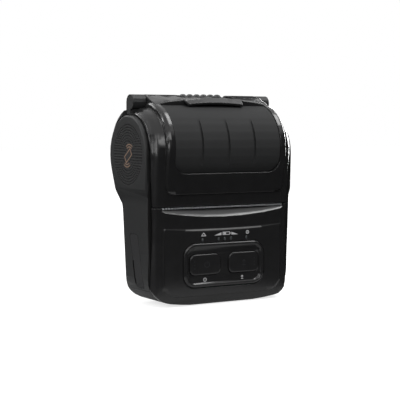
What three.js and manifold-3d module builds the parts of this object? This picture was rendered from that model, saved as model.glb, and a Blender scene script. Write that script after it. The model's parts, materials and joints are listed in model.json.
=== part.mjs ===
// A portable label printer with a hinged roll cover, in millimetres.
// X runs to the viewer's right, Y from the front to the back and Z up from the foot.
// The case is one rounded master body, cut along its parting lines into its mouldings.

import * as THREE from 'three';
import { mergeVertices } from 'three/addons/utils/BufferGeometryUtils.js';
import Module from 'manifold-3d';

const wasm = await Module();
wasm.setup();

// Driving dimensions of the case
const mediaHalf = 40;           // half the width of the widest media
const bayRadius = 25.3;         // inside of the roll bay
const boardHeight = 37.2;       // height of the main board, which sets the height of the lower case
const edgeRound = 10;           // rounding between the sides and the front
const backRound = 6;            // rounding between the sides and the back
const innerRound = 3;           // the same edge inside the case
const caseWall = 2.2;           // wall of the rear housing
const bezelWall = 2;            // wall of the front bezel
const coverWall = 1.8;          // wall of the cover
const sideWall = 1.5;           // side walls, under the side plates
const plateDepth = 2.9;         // from a side wall to the outside of its side plate
const padProud = 1.5;           // how far the raised pad stands over the side plate
const clearance = 0.3;          // running and fitting gap between pieces
const sideGap = 0.4;            // gap between neighbours along the platen
const seam = 0.5;               // visible gap along a parting line
const plateGap = 0.8;           // wider gap between a side plate and the cover
const overrun = 6;              // how far a cutter runs past what it cuts
const lineTolerance = 0.12;     // how far a facet may lie from its arc

// Pieces from the middle to the outside of each side
const mediaMargin = 2;          // the platen is this much shorter at each end than the media
const armThickness = 1.5;
const frameThickness = 1.2;
const gearWidth = 2.4;
const yokeThickness = 1.5;
const platenHalf = mediaHalf - mediaMargin;
const armX = platenHalf + sideGap;
const frameX = armX + armThickness + sideGap;
const gearX = frameX + frameThickness + sideGap;
const yokeX = gearX + gearWidth + sideGap;
const sideInner = yokeX + yokeThickness + sideGap;
const sideOuter = sideInner + sideWall;
const bodyHalf = sideOuter + plateDepth;
const padHalf = bodyHalf + padProud;

// Levels from the foot to the roll
const boardFootZ = 6.2;
const frameRise = 3.2;          // from the board to the frame of the print mechanism
const slotRise = 13.7;          // from that frame to the paper slot
const rackRise = 3.6;           // from the slot to the racks of the media guides
const rackDrop = 4;             // from the roll bay down to the racks
const rollAhead = 1.9;          // how far the roll bay reaches in front of the case
const shellWall = 2.1;          // case round the roll bay
const boardTopZ = boardFootZ + boardHeight;
const frameFootZ = boardTopZ + frameRise;
const slotZ = frameFootZ + slotRise;
const rackZ = slotZ + rackRise;
const rollZ = rackZ + rackDrop + bayRadius;
const rollY = bayRadius - rollAhead;
const rollShellRadius = bayRadius + shellWall;

// Side outline of the case below the roll
const footRound = 4;
const heelIn = 5.3;             // how far the heel lies in front of the knee
const heelRound = 12;
const kneeMargin = 4.6;         // from the feed motor to the knee
const kneeDrop = 2.3;
const kneeRound = 25;
const browDrop = 14.3;
const browRound = 120;
const kneeZ = slotZ - kneeDrop;
const browZ = slotZ - browDrop;

// Front outline of the case
const footInset = 29;           // from the sides to the flat that it stands on
const footBlend = 100;
const cornerTuck = 0.8;         // how far the lower corners lie inside the sides
const cornerRise = 3.9;
const cornerRound = 15;
const cornerTop = 30;
const flankRise = 9.7;
const flankBlend = 200;
const footHalf = bodyHalf - footInset;
const cornerHalf = bodyHalf - cornerTuck;
const flankZ = slotZ + flankRise;

// Parting lines
const slotHalfGap = 0.3;
const partTopY = 2.6;           // side parting line at the height of the roll
const partFootY = 5.4;          // and at the foot
const rimInset = 4.4;           // how far the side walls stay inside the cover
const coverInset = 4.1;         // how far the cover reaches inside the outline

// Side plates
const plateDrop = 1.9;          // its round end lies this much lower than the roll
const plateMargin = 3.2;        // case that shows round the plate
const plateInset = 1.2;         // how far the plate stays inside the back outline
const plateFootZ = 3.4;
const plateFootRound = 5;
const padDrop = 3;              // the raised pad begins inside the case this much below the slot
const padFade = 13.7;           // height over which it rises to its full thickness
const padRound = 1.2;
const shoulderRound = 2.4;      // rounded end of the drum behind the hinge
const plateCentreZ = rollZ - plateDrop;
const plateRadius = rollShellRadius - plateMargin;
const padFootZ = slotZ - padDrop;
const shoulderHalf = padHalf - clearance;

// Hinge barrel
const hingeBack = 5.4;          // the hinge lies behind the middle of the roll
const hingeRise = 2.8;          // and over the case
const barrelRadius = 4.7;
const barrelInset = 1.5;
const endKnuckle = 9.4;         // width of the outer knuckles
const midKnuckleHalf = 15;      // half the width of the ribbed knuckle
const notchGap = 3.4;           // from that knuckle to each end of the notch in the cover
const ribCount = 6;
const ribRadius = 5.3;
const ribShare = 0.62;          // share of the pitch that a rib fills
const hingePinRadius = 1.5;
const springWire = 0.3;
const springTurns = 3;
const hingeY = rollY + hingeBack;
const hingeZ = rollZ + rollShellRadius + hingeRise;
const barrelHalf = bodyHalf - barrelInset;
const notchHalf = midKnuckleHalf + notchGap;

// Raised centre of the cover and its dome
const domeAhead = 2.9;          // the dome lies in front of the roll
const domeAbove = 2.3;
const domeInset = 0.3;
const frameProud = 0.4;         // how far the frame stands over the dome
const domeThickness = 1.6;
const cheekWidth = 8.6;         // cover beside the raised centre
const frameWidth = 4.8;         // raised frame beside the dome
const raisedRound = 2.4;
const raisedCorner = 6;
const plateauRise = 1.2;        // how far the raised centre stands over the cover at its foot
const plateauLift = 7.7;        // its foot over the slot
const browBand = 12.3;          // band between its foot and the dome
const domeFootRound = 8;
const domeY = rollY - domeAhead;
const domeZ = rollZ + domeAbove;
const domeRadius = rollShellRadius - domeInset;
const raisedHalf = bodyHalf - cheekWidth;
const domeHalf = raisedHalf - frameWidth;
const plateauFootZ = slotZ + plateauLift;
const domeFootZ = plateauFootZ + browBand;

// Visor over the upper end of the dome, with its tab and notch
const visorInset = 1.4;
const visorReach = 16.2;        // from the hinge to its front edge
const visorFrontRise = 2.5;
const visorMiddleReach = 13;
const visorMiddleRise = 3.3;
const visorBackReach = 5.8;
const visorDrop = 4;            // how much lower its front is at the sides
const visorSteps = 8;
const tabReach = 4.1;
const tabFall = 2.6;
const tabMargin = 2.6;
const tabTaper = 1.7;
const tabThickness = 1.4;
const visorHalf = raisedHalf - visorInset;
const visorFrontY = hingeY - visorReach;
const visorFrontZ = hingeZ + visorFrontRise;
const visorMiddleY = hingeY - visorMiddleReach;
const visorMiddleZ = hingeZ + visorMiddleRise;
const visorBackY = hingeY - visorBackReach;
const tabFrontY = visorFrontY - tabReach;
const tabFrontZ = visorFrontZ - tabFall;
const tabHalf = notchHalf + tabMargin;
const grooveSpacing = 18.6;
const grooveCount = 3;
const grooveWidth = 1.5;
const grooveDepth = 1.1;
const grooveHalfSpan = 31;      // degrees each way from its middle
const grooveMiddle = 170;       // degrees round the dome from the back

// Front bezel
const panelInset = 9.4;
const panelFootZ = 6;
const panelDrop = 12.1;         // ends of its upper edge, from the slot
const panelSag = 1.5;           // its upper edge is this much lower in the middle
const panelSlope = 1.5;         // that edge rises by this much per unit of depth
const panelRise = 0.4;
const panelCrown = 1;           // how far the panel bows forward in its middle
const panelRound = 8;
const scoopInset = 7.6;
const scoopDrop = 6;            // depth of the tear lip in its middle
const scoopEnd = 1.9;           // and at its ends
const scoopSlope = 1.15;        // rise per unit of depth behind the front face
const tearBarDepth = 4.4;
const tearBarHeight = 0.9;
const toothPitch = 2;
const toothDepth = 0.8;
const panelHalf = bodyHalf - panelInset;
const scoopHalf = bodyHalf - scoopInset;

// Button pad and buttons
const buttonCentreX = 13.8;
const buttonCentreZ = 24.8;
const buttonHalf = 10.9;
const buttonHalfHeight = 6.4;
const buttonRound = 3.6;
const buttonProud = 1.5;
const buttonEdge = 0.8;
const buttonTravel = 0.6;
const buttonFlange = 1;
const stemRadius = 2;
const padSideMargin = 4.3;      // pad beside, under and over the buttons
const padFootMargin = 7.6;
const padTopMargin = 6.7;
const buttonPadRound = 8;
const buttonPadRim = 2.6;
const buttonPadProud = 1.7;     // rim over the front plane
const buttonPadFloor = 0.6;     // floor over the front plane
const buttonPadBack = 1.2;
const buttonPadHalf = buttonCentreX + buttonHalf + padSideMargin;
const buttonPadFootZ = buttonCentreZ - buttonHalfHeight - padFootMargin;
const buttonPadTopZ = buttonCentreZ + buttonHalfHeight + padTopMargin;

// Indicator lamps
const lampRise = 2;
const lampPitch = 4.4;          // between the three lamps in the middle
const lampOuterX = 15.7;
const lampHalfWidth = 0.7;
const lampHalfHeight = 1.1;
const lightBarEnd = 1.2;
const lightBarDepth = 1.9;
const lampZ = buttonPadTopZ + lampRise;
const lampXs = [-lampOuterX, -lampPitch, 0, lampPitch, lampOuterX];
const lightBarHalf = lampOuterX + lampHalfWidth + lightBarEnd;

// Main board, switches and sockets
const boardInset = 7;
const boardY = 9;
const boardThickness = 1.6;
const switchHalf = 3;
const switchHeight = 1.5;
const plungerRadius = 1.7;
const plungerHeight = 0.3;
const socketInset = 4.1;        // the mouths of the sockets lie this far inside the side wall
const dcZ = 17.9;
const dcHalfHeight = 4.2;
const dcLength = 8.5;
const dcDepth = 11;
const dcOffset = 0.6;           // its bore sits this far behind its middle
const dcBore = 2.8;
const dcPin = 1;
const socketPitch = 15.6;
const usbHalfHeight = 4.7;
const usbLength = 8;
const usbDepth = 11.1;
const usbMouthHalf = 4;
const usbMouthDepth = 3;
const postRadius = 2.4;
const postBore = 1.25;
const screwInset = 4.1;
const screwDrop = 7.7;          // lower screws under the power socket
const screwLift = 7.6;          // upper screws over it
const screwRadius = 1.1;
const screwHeadRadius = 2.4;
const screwHeadHeight = 1.8;
const screwLength = 20;
const counterbore = 2.9;
const boardHalf = sideInner - boardInset;
const socketMouthX = sideInner - socketInset;
const usbZ = dcZ + socketPitch;
const screwX = sideInner - screwInset;
const screwFootZ = dcZ - screwDrop;
const screwTopZ = dcZ + screwLift;

// Port cover on the left side
const portFootZ = 11;
const portTopDrop = 0.1;
const portFootY = 10.6;
const portTopY = 17.5;
const portWidth = 10.4;
const portRound = 2;
const portLip = 1.4;
const portNotch = 1.2;
const portPlugWall = 0.8;
const portTopZ = boardTopZ - portTopDrop;

// Battery
const batteryInset = 10;
const batteryFootZ = 6;
const batteryRise = 1.1;        // its top over the top of the board
const batteryBack = 16.1;       // its front behind the knee
const batteryRound = 3;
const pocketWall = 1.6;
const catchHalf = 8;
const catchDrop = 8;
const catchDepth = 2.4;
const catchTravel = 3;
const contactHalf = 7;
const batteryHalf = sideInner - batteryInset;
const batteryTopZ = boardTopZ + batteryRise;

// Print mechanism
const platenY = 8.5;
const platenRise = 5.7;         // middle of the platen over the slot
const platenRadius = 5;
const platenCore = 2.5;
const platenEnd = 1.8;          // radius of the turned-down shaft ends
const gearModule = 0.5;
const platenTeeth = 20;
const idlerTeeth = 28;
const motorTeeth = 12;
const backlash = 0.136;         // added to each centre distance
const gearLineAngle = -26.1;    // degrees that the gear line falls towards the back
const motorRadius = 7.4;
const motorLength = 20;
const motorBoss = 3;
const motorShaft = 1;
const headEnd = 0.4;
const headDepth = 14;
const headThickness = 3.4;
const headStrip = 0.7;
const headStripDepth = 7;
const headSpringIn = 15.6;
const yokeY = 4.6;
const yokeDepth = 1.6;
const yokeBarHeight = 4;
const yokeDrop = 0.6;           // the yoke hangs this much below the frame
const yokeTopRise = 1;
const latchTravel = 4;
const latchSpringRadius = 1.3;
const platenZ = slotZ + platenRise;
const headHalf = platenHalf - headEnd;
const headSpringX = headHalf - headSpringIn;
const yokeFootZ = frameFootZ - yokeDrop;
const yokeTopZ = platenZ + yokeTopRise;

// Media guides
const guideThickness = 1.5;
const guideDisc = 15;
const guideSpreadShare = 0.7;   // half the width of a guide's leg at the top, as a share of its disc
const rackTipShare = 0.8;       // height of the rack teeth over the pitch line, in modules
const guideGap = 0.1;           // from the media to each guide
const guideTravel = 12;
const guidePinionTeeth = 12;
const guideModule = 0.8;
const guidePinionBack = 7.2;    // from the middle of the roll
const rackHeight = 1.9;
const rackWidth = 3;
const rackReach = 7;            // how far a rack runs past the middle
const hubRadius = 5.6;
const hubLength = 4;
const hubBore = 3;
const trayThickness = 1.6;
const trayGap = 2.1;            // from the platen to the tray
const trayBack = 16.2;          // from the middle of the roll to the back of the tray
const guidePinionY = rollY + guidePinionBack;
const trayFrontY = platenY + platenRadius + trayGap;
const toothReach = 1.5;         // from a rack to the pitch circle, in modules
const kneeGap = 0.9;            // from the foot of the rear guide to the knee
const guideFootReach = guideModule * (guidePinionTeeth / 2 + toothReach) + rackWidth / 2;
const guideFootFrontY = guidePinionY - guideFootReach;
const guideFootBackY = guidePinionY + guideFootReach;
const trayBackY = rollY + trayBack;

// Release lever on the right side
const leverFrontY = 6.4;
const leverDepth = 7.4;
const leverDrop = 24.7;         // its lower and upper ends under the slot
const leverTopDrop = 1.1;
const leverOver = 1.4;          // its ribs over the side of the case
const leverRibs = 7;
const leverRibDepth = 0.7;
const leverStemRise = 0.2;
const leverStemHeight = 4;
const leverFootZ = slotZ - leverDrop;
const leverTopZ = slotZ - leverTopDrop;
const leverProud = bodyHalf + leverOver;
const leverStemFootZ = yokeFootZ + leverStemRise;
const leverStemTopZ = leverStemFootZ + leverStemHeight;

// Values worked out from the sizes above
const caseTopZ = rollZ + rollShellRadius;
const hingeGap = barrelRadius + clearance;
const guideInner = mediaHalf + guideGap;
const frameRadius = domeRadius + frameProud;
const partSlope = (partFootY - partTopY) / plateCentreZ;
const plateCentreY = partTopY + plateRadius * Math.hypot(1, partSlope);
const boardBackY = boardY + boardThickness;
const knuckleInner = barrelHalf - endKnuckle;
const headTopZ = platenZ - platenRadius - clearance;
const far = 2 * padHalf + caseTopZ;

// Gear line from the platen over the idler to the motor
const gearLine = THREE.MathUtils.degToRad(gearLineAngle);
const platenPitch = gearModule * platenTeeth / 2;
const idlerPitch = gearModule * idlerTeeth / 2;
const motorPitch = gearModule * motorTeeth / 2;
const idlerReach = platenPitch + idlerPitch + backlash;
const motorReach = idlerReach + idlerPitch + motorPitch + backlash;
const idlerY = platenY + idlerReach * Math.cos(gearLine);
const idlerZ = platenZ + idlerReach * Math.sin(gearLine);
const motorY = platenY + motorReach * Math.cos(gearLine);
const motorZ = platenZ + motorReach * Math.sin(gearLine);

// Back of the lower case, which encloses the feed motor and the foot of the rear guide
const kneeY = Math.max(motorY + motorRadius + kneeMargin, guideFootBackY + rackWidth / 2 + kneeGap);
const heelY = kneeY - heelIn;
const batteryY = kneeY - batteryBack;

// Colours of the materials
const finish = (color, roughness, metalness = 0) =>
  new THREE.MeshStandardMaterial({ color, roughness, metalness });
const glossBlack = finish(0x121213, 0.18);
const mattBlack = finish(0x232425, 0.62);
const domeBlack = finish(0x1b1c1d, 0.55);
const rubberBlack = finish(0x1f2021, 0.8);
const innerBlack = finish(0x2a2b2c, 0.6);
const leverGrey = finish(0xb9bbbd, 0.4, 0.3);
const steel = finish(0xa9adb2, 0.3, 1);
const aluminium = finish(0xbfc3c7, 0.35, 1);
const ceramic = finish(0xd9d6cd, 0.3);
const boardGreen = finish(0x1f5a3a, 0.5);
const nylon = finish(0xe6e3da, 0.5);
const lensClear = finish(0x8d9294, 0.25);

// Turns a three.js geometry into a solid that can be joined and cut
function toSolid(geometry) {
  const bare = geometry.index ? geometry.toNonIndexed() : geometry.clone();
  bare.deleteAttribute('normal');
  bare.deleteAttribute('uv');
  const merged = mergeVertices(bare, clearance / 1000);
  const { array } = merged.attributes.position;
  const kept = [];
  for (let i = 0; i < merged.index.count; i += 3) {
    const [a, b, c] = [merged.index.getX(i), merged.index.getX(i + 1), merged.index.getX(i + 2)];
    if (a !== b && b !== c && c !== a) kept.push(a, b, c);
  }
  const mesh = new wasm.Mesh({
    numProp: 3,
    vertProperties: new Float32Array(array),
    triVerts: new Uint32Array(kept),
  });
  return new wasm.Manifold(mesh);
}

// Turns a solid back into a three.js geometry
function toGeometry(solid) {
  const mesh = solid.getMesh();
  const geometry = new THREE.BufferGeometry();
  geometry.setAttribute('position', new THREE.BufferAttribute(mesh.vertProperties, 3));
  geometry.setIndex(new THREE.BufferAttribute(mesh.triVerts, 1));
  geometry.computeVertexNormals();
  return geometry;
}

const join = (...solids) => solids.reduce((sum, solid) => sum.add(solid));
const cut = (body, ...tools) => tools.reduce((rest, tool) => rest.subtract(tool), body);
const common = (...solids) => solids.reduce((rest, solid) => rest.intersect(solid));

// Number of straight steps that an arc needs
function arcSteps(radius, angle) {
  if (radius <= lineTolerance) return 1;
  const step = 2 * Math.acos(1 - lineTolerance / radius);
  return Math.max(1, Math.ceil(Math.abs(angle) / step));
}

// Points of an arc round (a, b), from one angle to another in degrees
function arcPoints(a, b, radius, from, to) {
  const start = THREE.MathUtils.degToRad(from);
  const span = THREE.MathUtils.degToRad(to - from);
  const steps = arcSteps(radius, span);
  return Array.from({ length: steps + 1 }, (_, i) => {
    const angle = start + span * i / steps;
    return new THREE.Vector2(a + radius * Math.cos(angle), b + radius * Math.sin(angle));
  });
}

const circle = (a, b, radius) => arcPoints(a, b, radius, 0, 360).slice(0, -1);

// A closed outline from corners [a, b, radius], anticlockwise, moved inwards by the inset and rounded
function outline(corners, inset = 0) {
  const points = corners.map(([a, b]) => new THREE.Vector2(a, b));
  const count = points.length;
  const along = points.map((point, i) => points[(i + 1) % count].clone().sub(point).normalize());
  const inward = along.map((way) => new THREE.Vector2(-way.y, way.x));
  const result = [];
  for (let i = 0; i < count; i += 1) {
    const last = (i + count - 1) % count;
    const turn = Math.atan2(along[last].cross(along[i]), along[last].dot(along[i]));
    const reach = inset * Math.tan(turn / 2);
    const corner = points[i].clone().addScaledVector(inward[i], inset).addScaledVector(along[i], reach);
    const full = corners[i][2] || 0;
    if (full === 0) {
      result.push(corner);
      continue;
    }
    const radius = Math.max(turn > 0 ? full - inset : full + inset, lineTolerance);
    const trim = radius * Math.tan(Math.abs(turn) / 2);
    const side = Math.sign(turn);
    const start = corner.clone().addScaledVector(along[last], -trim);
    const centre = start.clone().addScaledVector(inward[last], side * radius);
    const steps = arcSteps(full, turn);
    for (let k = 0; k <= steps; k += 1) {
      result.push(start.clone().rotateAround(centre, turn * k / steps));
    }
  }
  return result;
}

// Bases that lay a flat outline along each axis
const basisX = new THREE.Matrix4().makeBasis(
  new THREE.Vector3(0, 1, 0), new THREE.Vector3(0, 0, 1), new THREE.Vector3(1, 0, 0));
const basisY = new THREE.Matrix4().makeBasis(
  new THREE.Vector3(1, 0, 0), new THREE.Vector3(0, 0, 1), new THREE.Vector3(0, -1, 0));

function extrusion(points, length) {
  return new THREE.ExtrudeGeometry(new THREE.Shape(points),
    { depth: length, bevelEnabled: false, steps: 1 });
}

// Prisms of an outline in (Y, Z), (X, Z) or (X, Y) between two places on the third axis
function prismX(points, x0, x1) {
  return toSolid(extrusion(points, x1 - x0).applyMatrix4(basisX).translate(x0, 0, 0));
}

function prismY(points, y0, y1) {
  return toSolid(extrusion(points, y1 - y0).applyMatrix4(basisY).translate(0, y1, 0));
}

function prismZ(points, z0, z1) {
  return toSolid(extrusion(points, z1 - z0).translate(0, 0, z0));
}

function block(x0, x1, y0, y1, z0, z1) {
  const geometry = new THREE.BoxGeometry(x1 - x0, y1 - y0, z1 - z0);
  return toSolid(geometry.translate((x0 + x1) / 2, (y0 + y1) / 2, (z0 + z1) / 2));
}

const rodX = (y, z, radius, x0, x1) => prismX(circle(y, z, radius), x0, x1);
const rodY = (x, z, radius, y0, y1) => prismY(circle(x, z, radius), y0, y1);
const rodZ = (x, y, radius, z0, z1) => prismZ(circle(x, y, radius), z0, z1);

const rectangle = (a0, b0, a1, b1, radius = 0) => [
  [a0, b0, radius], [a1, b0, radius], [a1, b1, radius], [a0, b1, radius]];

// A body that keeps one outline all along an axis but draws it in at each station [place, inset]
const placeAlong = {
  x: (point, place) => [place, point.x, point.y],
  y: (point, place) => [point.x, place, point.y],
  z: (point, place) => [point.x, point.y, place],
};

function loft(axis, corners, stations) {
  const rings = stations.map(([, inset]) => outline(corners, inset));
  const count = rings[0].length;
  const positions = rings.flatMap((ring, s) =>
    ring.flatMap((point) => placeAlong[axis](point, stations[s][0])));
  const index = [];
  const face = (a, b, c) => (axis === 'y' ? index.push(a, c, b) : index.push(a, b, c));
  for (let s = 0; s + 1 < rings.length; s += 1) {
    for (let i = 0; i < count; i += 1) {
      const next = (i + 1) % count;
      const [low, high] = [s * count, (s + 1) * count];
      face(low + i, low + next, high + next);
      face(low + i, high + next, high + i);
    }
  }
  const last = (rings.length - 1) * count;
  THREE.ShapeUtils.triangulateShape(rings[0], []).forEach(([a, b, c]) => face(a, c, b));
  THREE.ShapeUtils.triangulateShape(rings.at(-1), []).forEach(([a, b, c]) =>
    face(last + a, last + b, last + c));
  const geometry = new THREE.BufferGeometry();
  geometry.setAttribute('position', new THREE.Float32BufferAttribute(positions, 3));
  geometry.setIndex(index);
  return toSolid(geometry);
}

// Stations of a rounded edge that ends at a place, turning inwards over the radius
function roundedEnd(place, radius, side, steps = 3) {
  const stations = Array.from({ length: steps + 1 }, (_, k) => {
    const angle = Math.PI / 2 * k / steps;
    return [place - side * radius * (1 - Math.sin(angle)), radius * (1 - Math.cos(angle))];
  });
  return side < 0 ? stations.reverse() : stations;
}

// A coil spring along Z with flat-lying first and last turns left out
function coil(x, y, z0, z1, radius, wire, turns) {
  const stepsPerTurn = 8;
  const steps = turns * stepsPerTurn;
  const points = Array.from({ length: steps + 1 }, (_, i) => {
    const angle = 2 * Math.PI * i / stepsPerTurn;
    const rise = z0 + wire + (z1 - z0 - 2 * wire) * i / steps;
    return new THREE.Vector3(radius * Math.cos(angle), radius * Math.sin(angle), rise);
  });
  const path = new THREE.CatmullRomCurve3(points);
  const section = new THREE.Shape(Array.from({ length: 4 }, (_, i) => {
    const angle = Math.PI * i / 2;
    return new THREE.Vector2(wire * Math.cos(angle), wire * Math.sin(angle));
  }));
  const geometry = new THREE.ExtrudeGeometry(section, { steps, extrudePath: path, bevelEnabled: false });
  return toSolid(geometry.translate(x, y, 0));
}

const mirrored = (solid) => solid.mirror([1, 0, 0]);
const bothSides = (solid) => solid.add(mirrored(solid));

// Tooth heights in modules, and half widths of a tooth at its root and tip as shares of the pitch
const dedendumShare = 1.25;
const addendumShare = 0.9;
const rootShare = 0.31;
const tipShare = 0.1;

// A spur gear outline with straight-flanked teeth
function gearOutline(a, b, teeth, module, phase = 0) {
  const pitch = module * teeth / 2;
  const root = pitch - dedendumShare * module;
  const tip = pitch + addendumShare * module;
  const points = [];
  for (let i = 0; i < teeth; i += 1) {
    const profile = [[-rootShare, root], [-tipShare, tip], [tipShare, tip], [rootShare, root]];
    for (const [share, radius] of profile) {
      const angle = phase + 2 * Math.PI * (i + share) / teeth;
      points.push(new THREE.Vector2(a + radius * Math.cos(angle), b + radius * Math.sin(angle)));
    }
  }
  return points;
}

// Slope of the straight line from a point of the side outline to a circle that it touches
function tangentSlope(fromY, fromZ, centreY, centreZ, radius) {
  const reach = Math.hypot(centreY - fromY, centreZ - fromZ);
  const towards = Math.atan2(centreY - fromY, centreZ - fromZ);
  return Math.tan(towards + Math.asin(radius / reach));
}

const backSlope = tangentSlope(kneeY, kneeZ, rollY, rollZ, rollShellRadius);
const browSlope = tangentSlope(0, browZ, rollY, rollZ, -rollShellRadius);
const sideCorners = [
  [0, 0, footRound],
  [heelY, 0, heelRound],
  [kneeY, kneeZ, kneeRound],
  [kneeY + (caseTopZ - kneeZ) * backSlope, caseTopZ, rollShellRadius],
  [(caseTopZ - browZ) * browSlope, caseTopZ, rollShellRadius],
  [0, browZ, browRound],
];
const rightEdge = [
  [footHalf, 0, footBlend],
  [cornerHalf, cornerRise, cornerRound],
  [cornerHalf, cornerTop, flankBlend],
  [bodyHalf, flankZ, flankBlend],
  [bodyHalf, far],
];
const frontCorners = [...rightEdge, ...rightEdge.map(([x, z, radius]) => [-x, z, radius]).reverse()];

// The master body: the side outline with rounded edges, trimmed to the front outline
function masterBody(inset, half, round = edgeRound - inset) {
  const stations = roundedEnd(half, round, 1).map(([place, drawn]) => [place, drawn + inset]);
  const all = [...stations.map(([place, drawn]) => [-place, drawn]).reverse(), ...stations];
  return common(loft('x', sideCorners, all), prismY(outline(frontCorners, inset), -far, far));
}

const body = masterBody(0, bodyHalf);
const backBody = masterBody(0, bodyHalf, backRound);
const frontY = (z) => Math.min(0, (z - browZ) * browSlope);
const partY = (z) => partFootY - partSlope * z;

// Everything in front of the side parting line, moved forward by the offset
function inFrontOfParting(offset, z0, z1) {
  const points = [
    new THREE.Vector2(-far, z0), new THREE.Vector2(partY(z0) - offset, z0),
    new THREE.Vector2(partY(z1) - offset, z1), new THREE.Vector2(-far, z1)];
  return prismX(points, -far, far);
}

// Everything above the slot and outside a line drawn inside the outline
function coverZone(inset, backY, z0) {
  const outside = block(-far, far, -far, backY, z0, far);
  return cut(outside, prismX(outline(sideCorners, inset), -far, far));
}

// Outline of a side plate: the back of the case, the roll circle and the parting line
const plateTopZ = plateCentreZ + plateRadius;
const plateBackY = kneeY - plateInset;
const plateSlope = tangentSlope(plateBackY, kneeZ, plateCentreY, plateCentreZ, plateRadius);
const plateCorners = [
  [partY(plateFootZ), plateFootZ, plateFootRound],
  [heelY - plateInset, plateFootZ, heelRound - plateInset],
  [plateBackY, kneeZ, kneeRound],
  [plateBackY + (plateTopZ - kneeZ) * plateSlope, plateTopZ, plateRadius],
  [partY(plateTopZ), plateTopZ, plateRadius],
];

// Side outline of the raised centre: a straight face that runs up into the circle of the frame
const plateauY = frontY(plateauFootZ) - plateauRise;
const plateauSlope = tangentSlope(plateauY, plateauFootZ, domeY, domeZ, -frameRadius);
const frameTopZ = domeZ + frameRadius;
const raisedCorners = [
  [plateauY, plateauFootZ, 0],
  [rollY, plateauFootZ, 0],
  [hingeY, rollZ, 0],
  [hingeY, frameTopZ, 0],
  [plateauY + (frameTopZ - plateauFootZ) * plateauSlope, frameTopZ, frameRadius],
];

// The raised centre, with rounded sides and lower corners
function raisedCentre(inset) {
  const half = raisedHalf - inset;
  const ends = roundedEnd(half, raisedRound, 1).map(([place, drawn]) => [place, drawn + inset]);
  const all = [...ends.map(([place, drawn]) => [-place, drawn]).reverse(), ...ends];
  const front = rectangle(-raisedHalf, plateauFootZ, raisedHalf, far, 0);
  front[0][2] = raisedCorner;
  front[1][2] = raisedCorner;
  return common(loft('x', raisedCorners, all), prismY(outline(front, inset), -far, far));
}

// A prism along X whose top falls towards both ends, the more the further in front of the hinge
function drooping(points, half) {
  const shape = new THREE.Shape(points);
  const geometry = new THREE.ExtrudeGeometry(shape,
    { depth: 2 * half, steps: visorSteps, bevelEnabled: false });
  geometry.applyMatrix4(basisX).translate(-half, 0, 0);
  const { position } = geometry.attributes;
  for (let i = 0; i < position.count; i += 1) {
    const reach = (hingeY - position.getY(i)) / (hingeY - visorFrontY);
    const fall = visorDrop * reach * (position.getX(i) / visorHalf) ** 2;
    position.setZ(i, position.getZ(i) - fall);
  }
  return toSolid(geometry);
}

// The visor bridges the cover from the hinge barrels to the upper end of the dome
function visor(inset) {
  const corners = [
    [visorFrontY, rollZ, 0], [hingeY, rollZ, 0], [hingeY, hingeZ + barrelRadius, 0],
    [visorBackY, hingeZ + barrelRadius, 0], [visorMiddleY, visorMiddleZ, 0],
    [visorFrontY, visorFrontZ, clearance]];
  return drooping(outline(corners, inset), visorHalf - inset);
}

function visorTab() {
  const points = [
    new THREE.Vector2(tabFrontY, tabFrontZ),
    new THREE.Vector2(tabFrontY + clearance, tabFrontZ - tabThickness),
    new THREE.Vector2(visorFrontY + clearance, visorFrontZ - tabThickness),
    new THREE.Vector2(visorFrontY + clearance, visorFrontZ)];
  const plan = [
    new THREE.Vector2(tabTaper - tabHalf, tabFrontY), new THREE.Vector2(tabHalf - tabTaper, tabFrontY),
    new THREE.Vector2(tabHalf, visorFrontY), new THREE.Vector2(tabHalf, far),
    new THREE.Vector2(-tabHalf, far), new THREE.Vector2(-tabHalf, visorFrontY)];
  return common(drooping(points, tabHalf), prismZ(plan, 0, far));
}

const notchFloorZ = rollZ + bayRadius + 2 * coverWall + clearance;

// The notch in the visor in front of the ribbed knuckle
function visorNotch(grow) {
  return block(-notchHalf - grow, notchHalf + grow, visorMiddleY - grow, far, notchFloorZ - grow, far);
}

// Rear housing

function endKnuckleSolid() {
  const neckFront = hingeY - barrelRadius + 2 * caseWall;
  const neckFoot = caseTopZ - rimInset - caseWall;
  const neck = prismX([
    new THREE.Vector2(neckFront, neckFoot), new THREE.Vector2(hingeY + barrelRadius, neckFoot),
    new THREE.Vector2(hingeY + barrelRadius, hingeZ), new THREE.Vector2(neckFront - caseWall, hingeZ)],
  knuckleInner, sideOuter);
  const strut = prismX([
    new THREE.Vector2(neckFront, plateTopZ + plateGap),
    new THREE.Vector2(hingeY + barrelRadius, plateTopZ + plateGap),
    new THREE.Vector2(hingeY + barrelRadius, hingeZ), new THREE.Vector2(neckFront, hingeZ)],
  knuckleInner, barrelHalf);
  return join(rodX(hingeY, hingeZ, barrelRadius, knuckleInner, barrelHalf), neck, strut);
}

function ribbedKnuckle() {
  const core = rodX(hingeY, hingeZ, barrelRadius - caseWall / 4, -midKnuckleHalf, midKnuckleHalf);
  const neck = block(-midKnuckleHalf, midKnuckleHalf, hingeY, hingeY + hingeGap + caseWall,
    caseTopZ - 2 * caseWall, hingeZ - caseWall / 2);
  const pitch = 2 * midKnuckleHalf / ribCount;
  const ribs = Array.from({ length: ribCount }, (_, i) => {
    const middle = -midKnuckleHalf + pitch * (i + 0.5);
    const half = pitch * ribShare / 2;
    const ends = roundedEnd(middle + half, half / 2, 1, 1);
    const all = [...ends.map(([place, drawn]) => [2 * middle - place, drawn]).reverse(), ...ends];
    const square = rectangle(hingeY - ribRadius, hingeZ - ribRadius, hingeY + ribRadius,
      hingeZ + ribRadius, ribRadius);
    return loft('x', square, all);
  });
  return join(core, neck, ...ribs);
}

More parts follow.
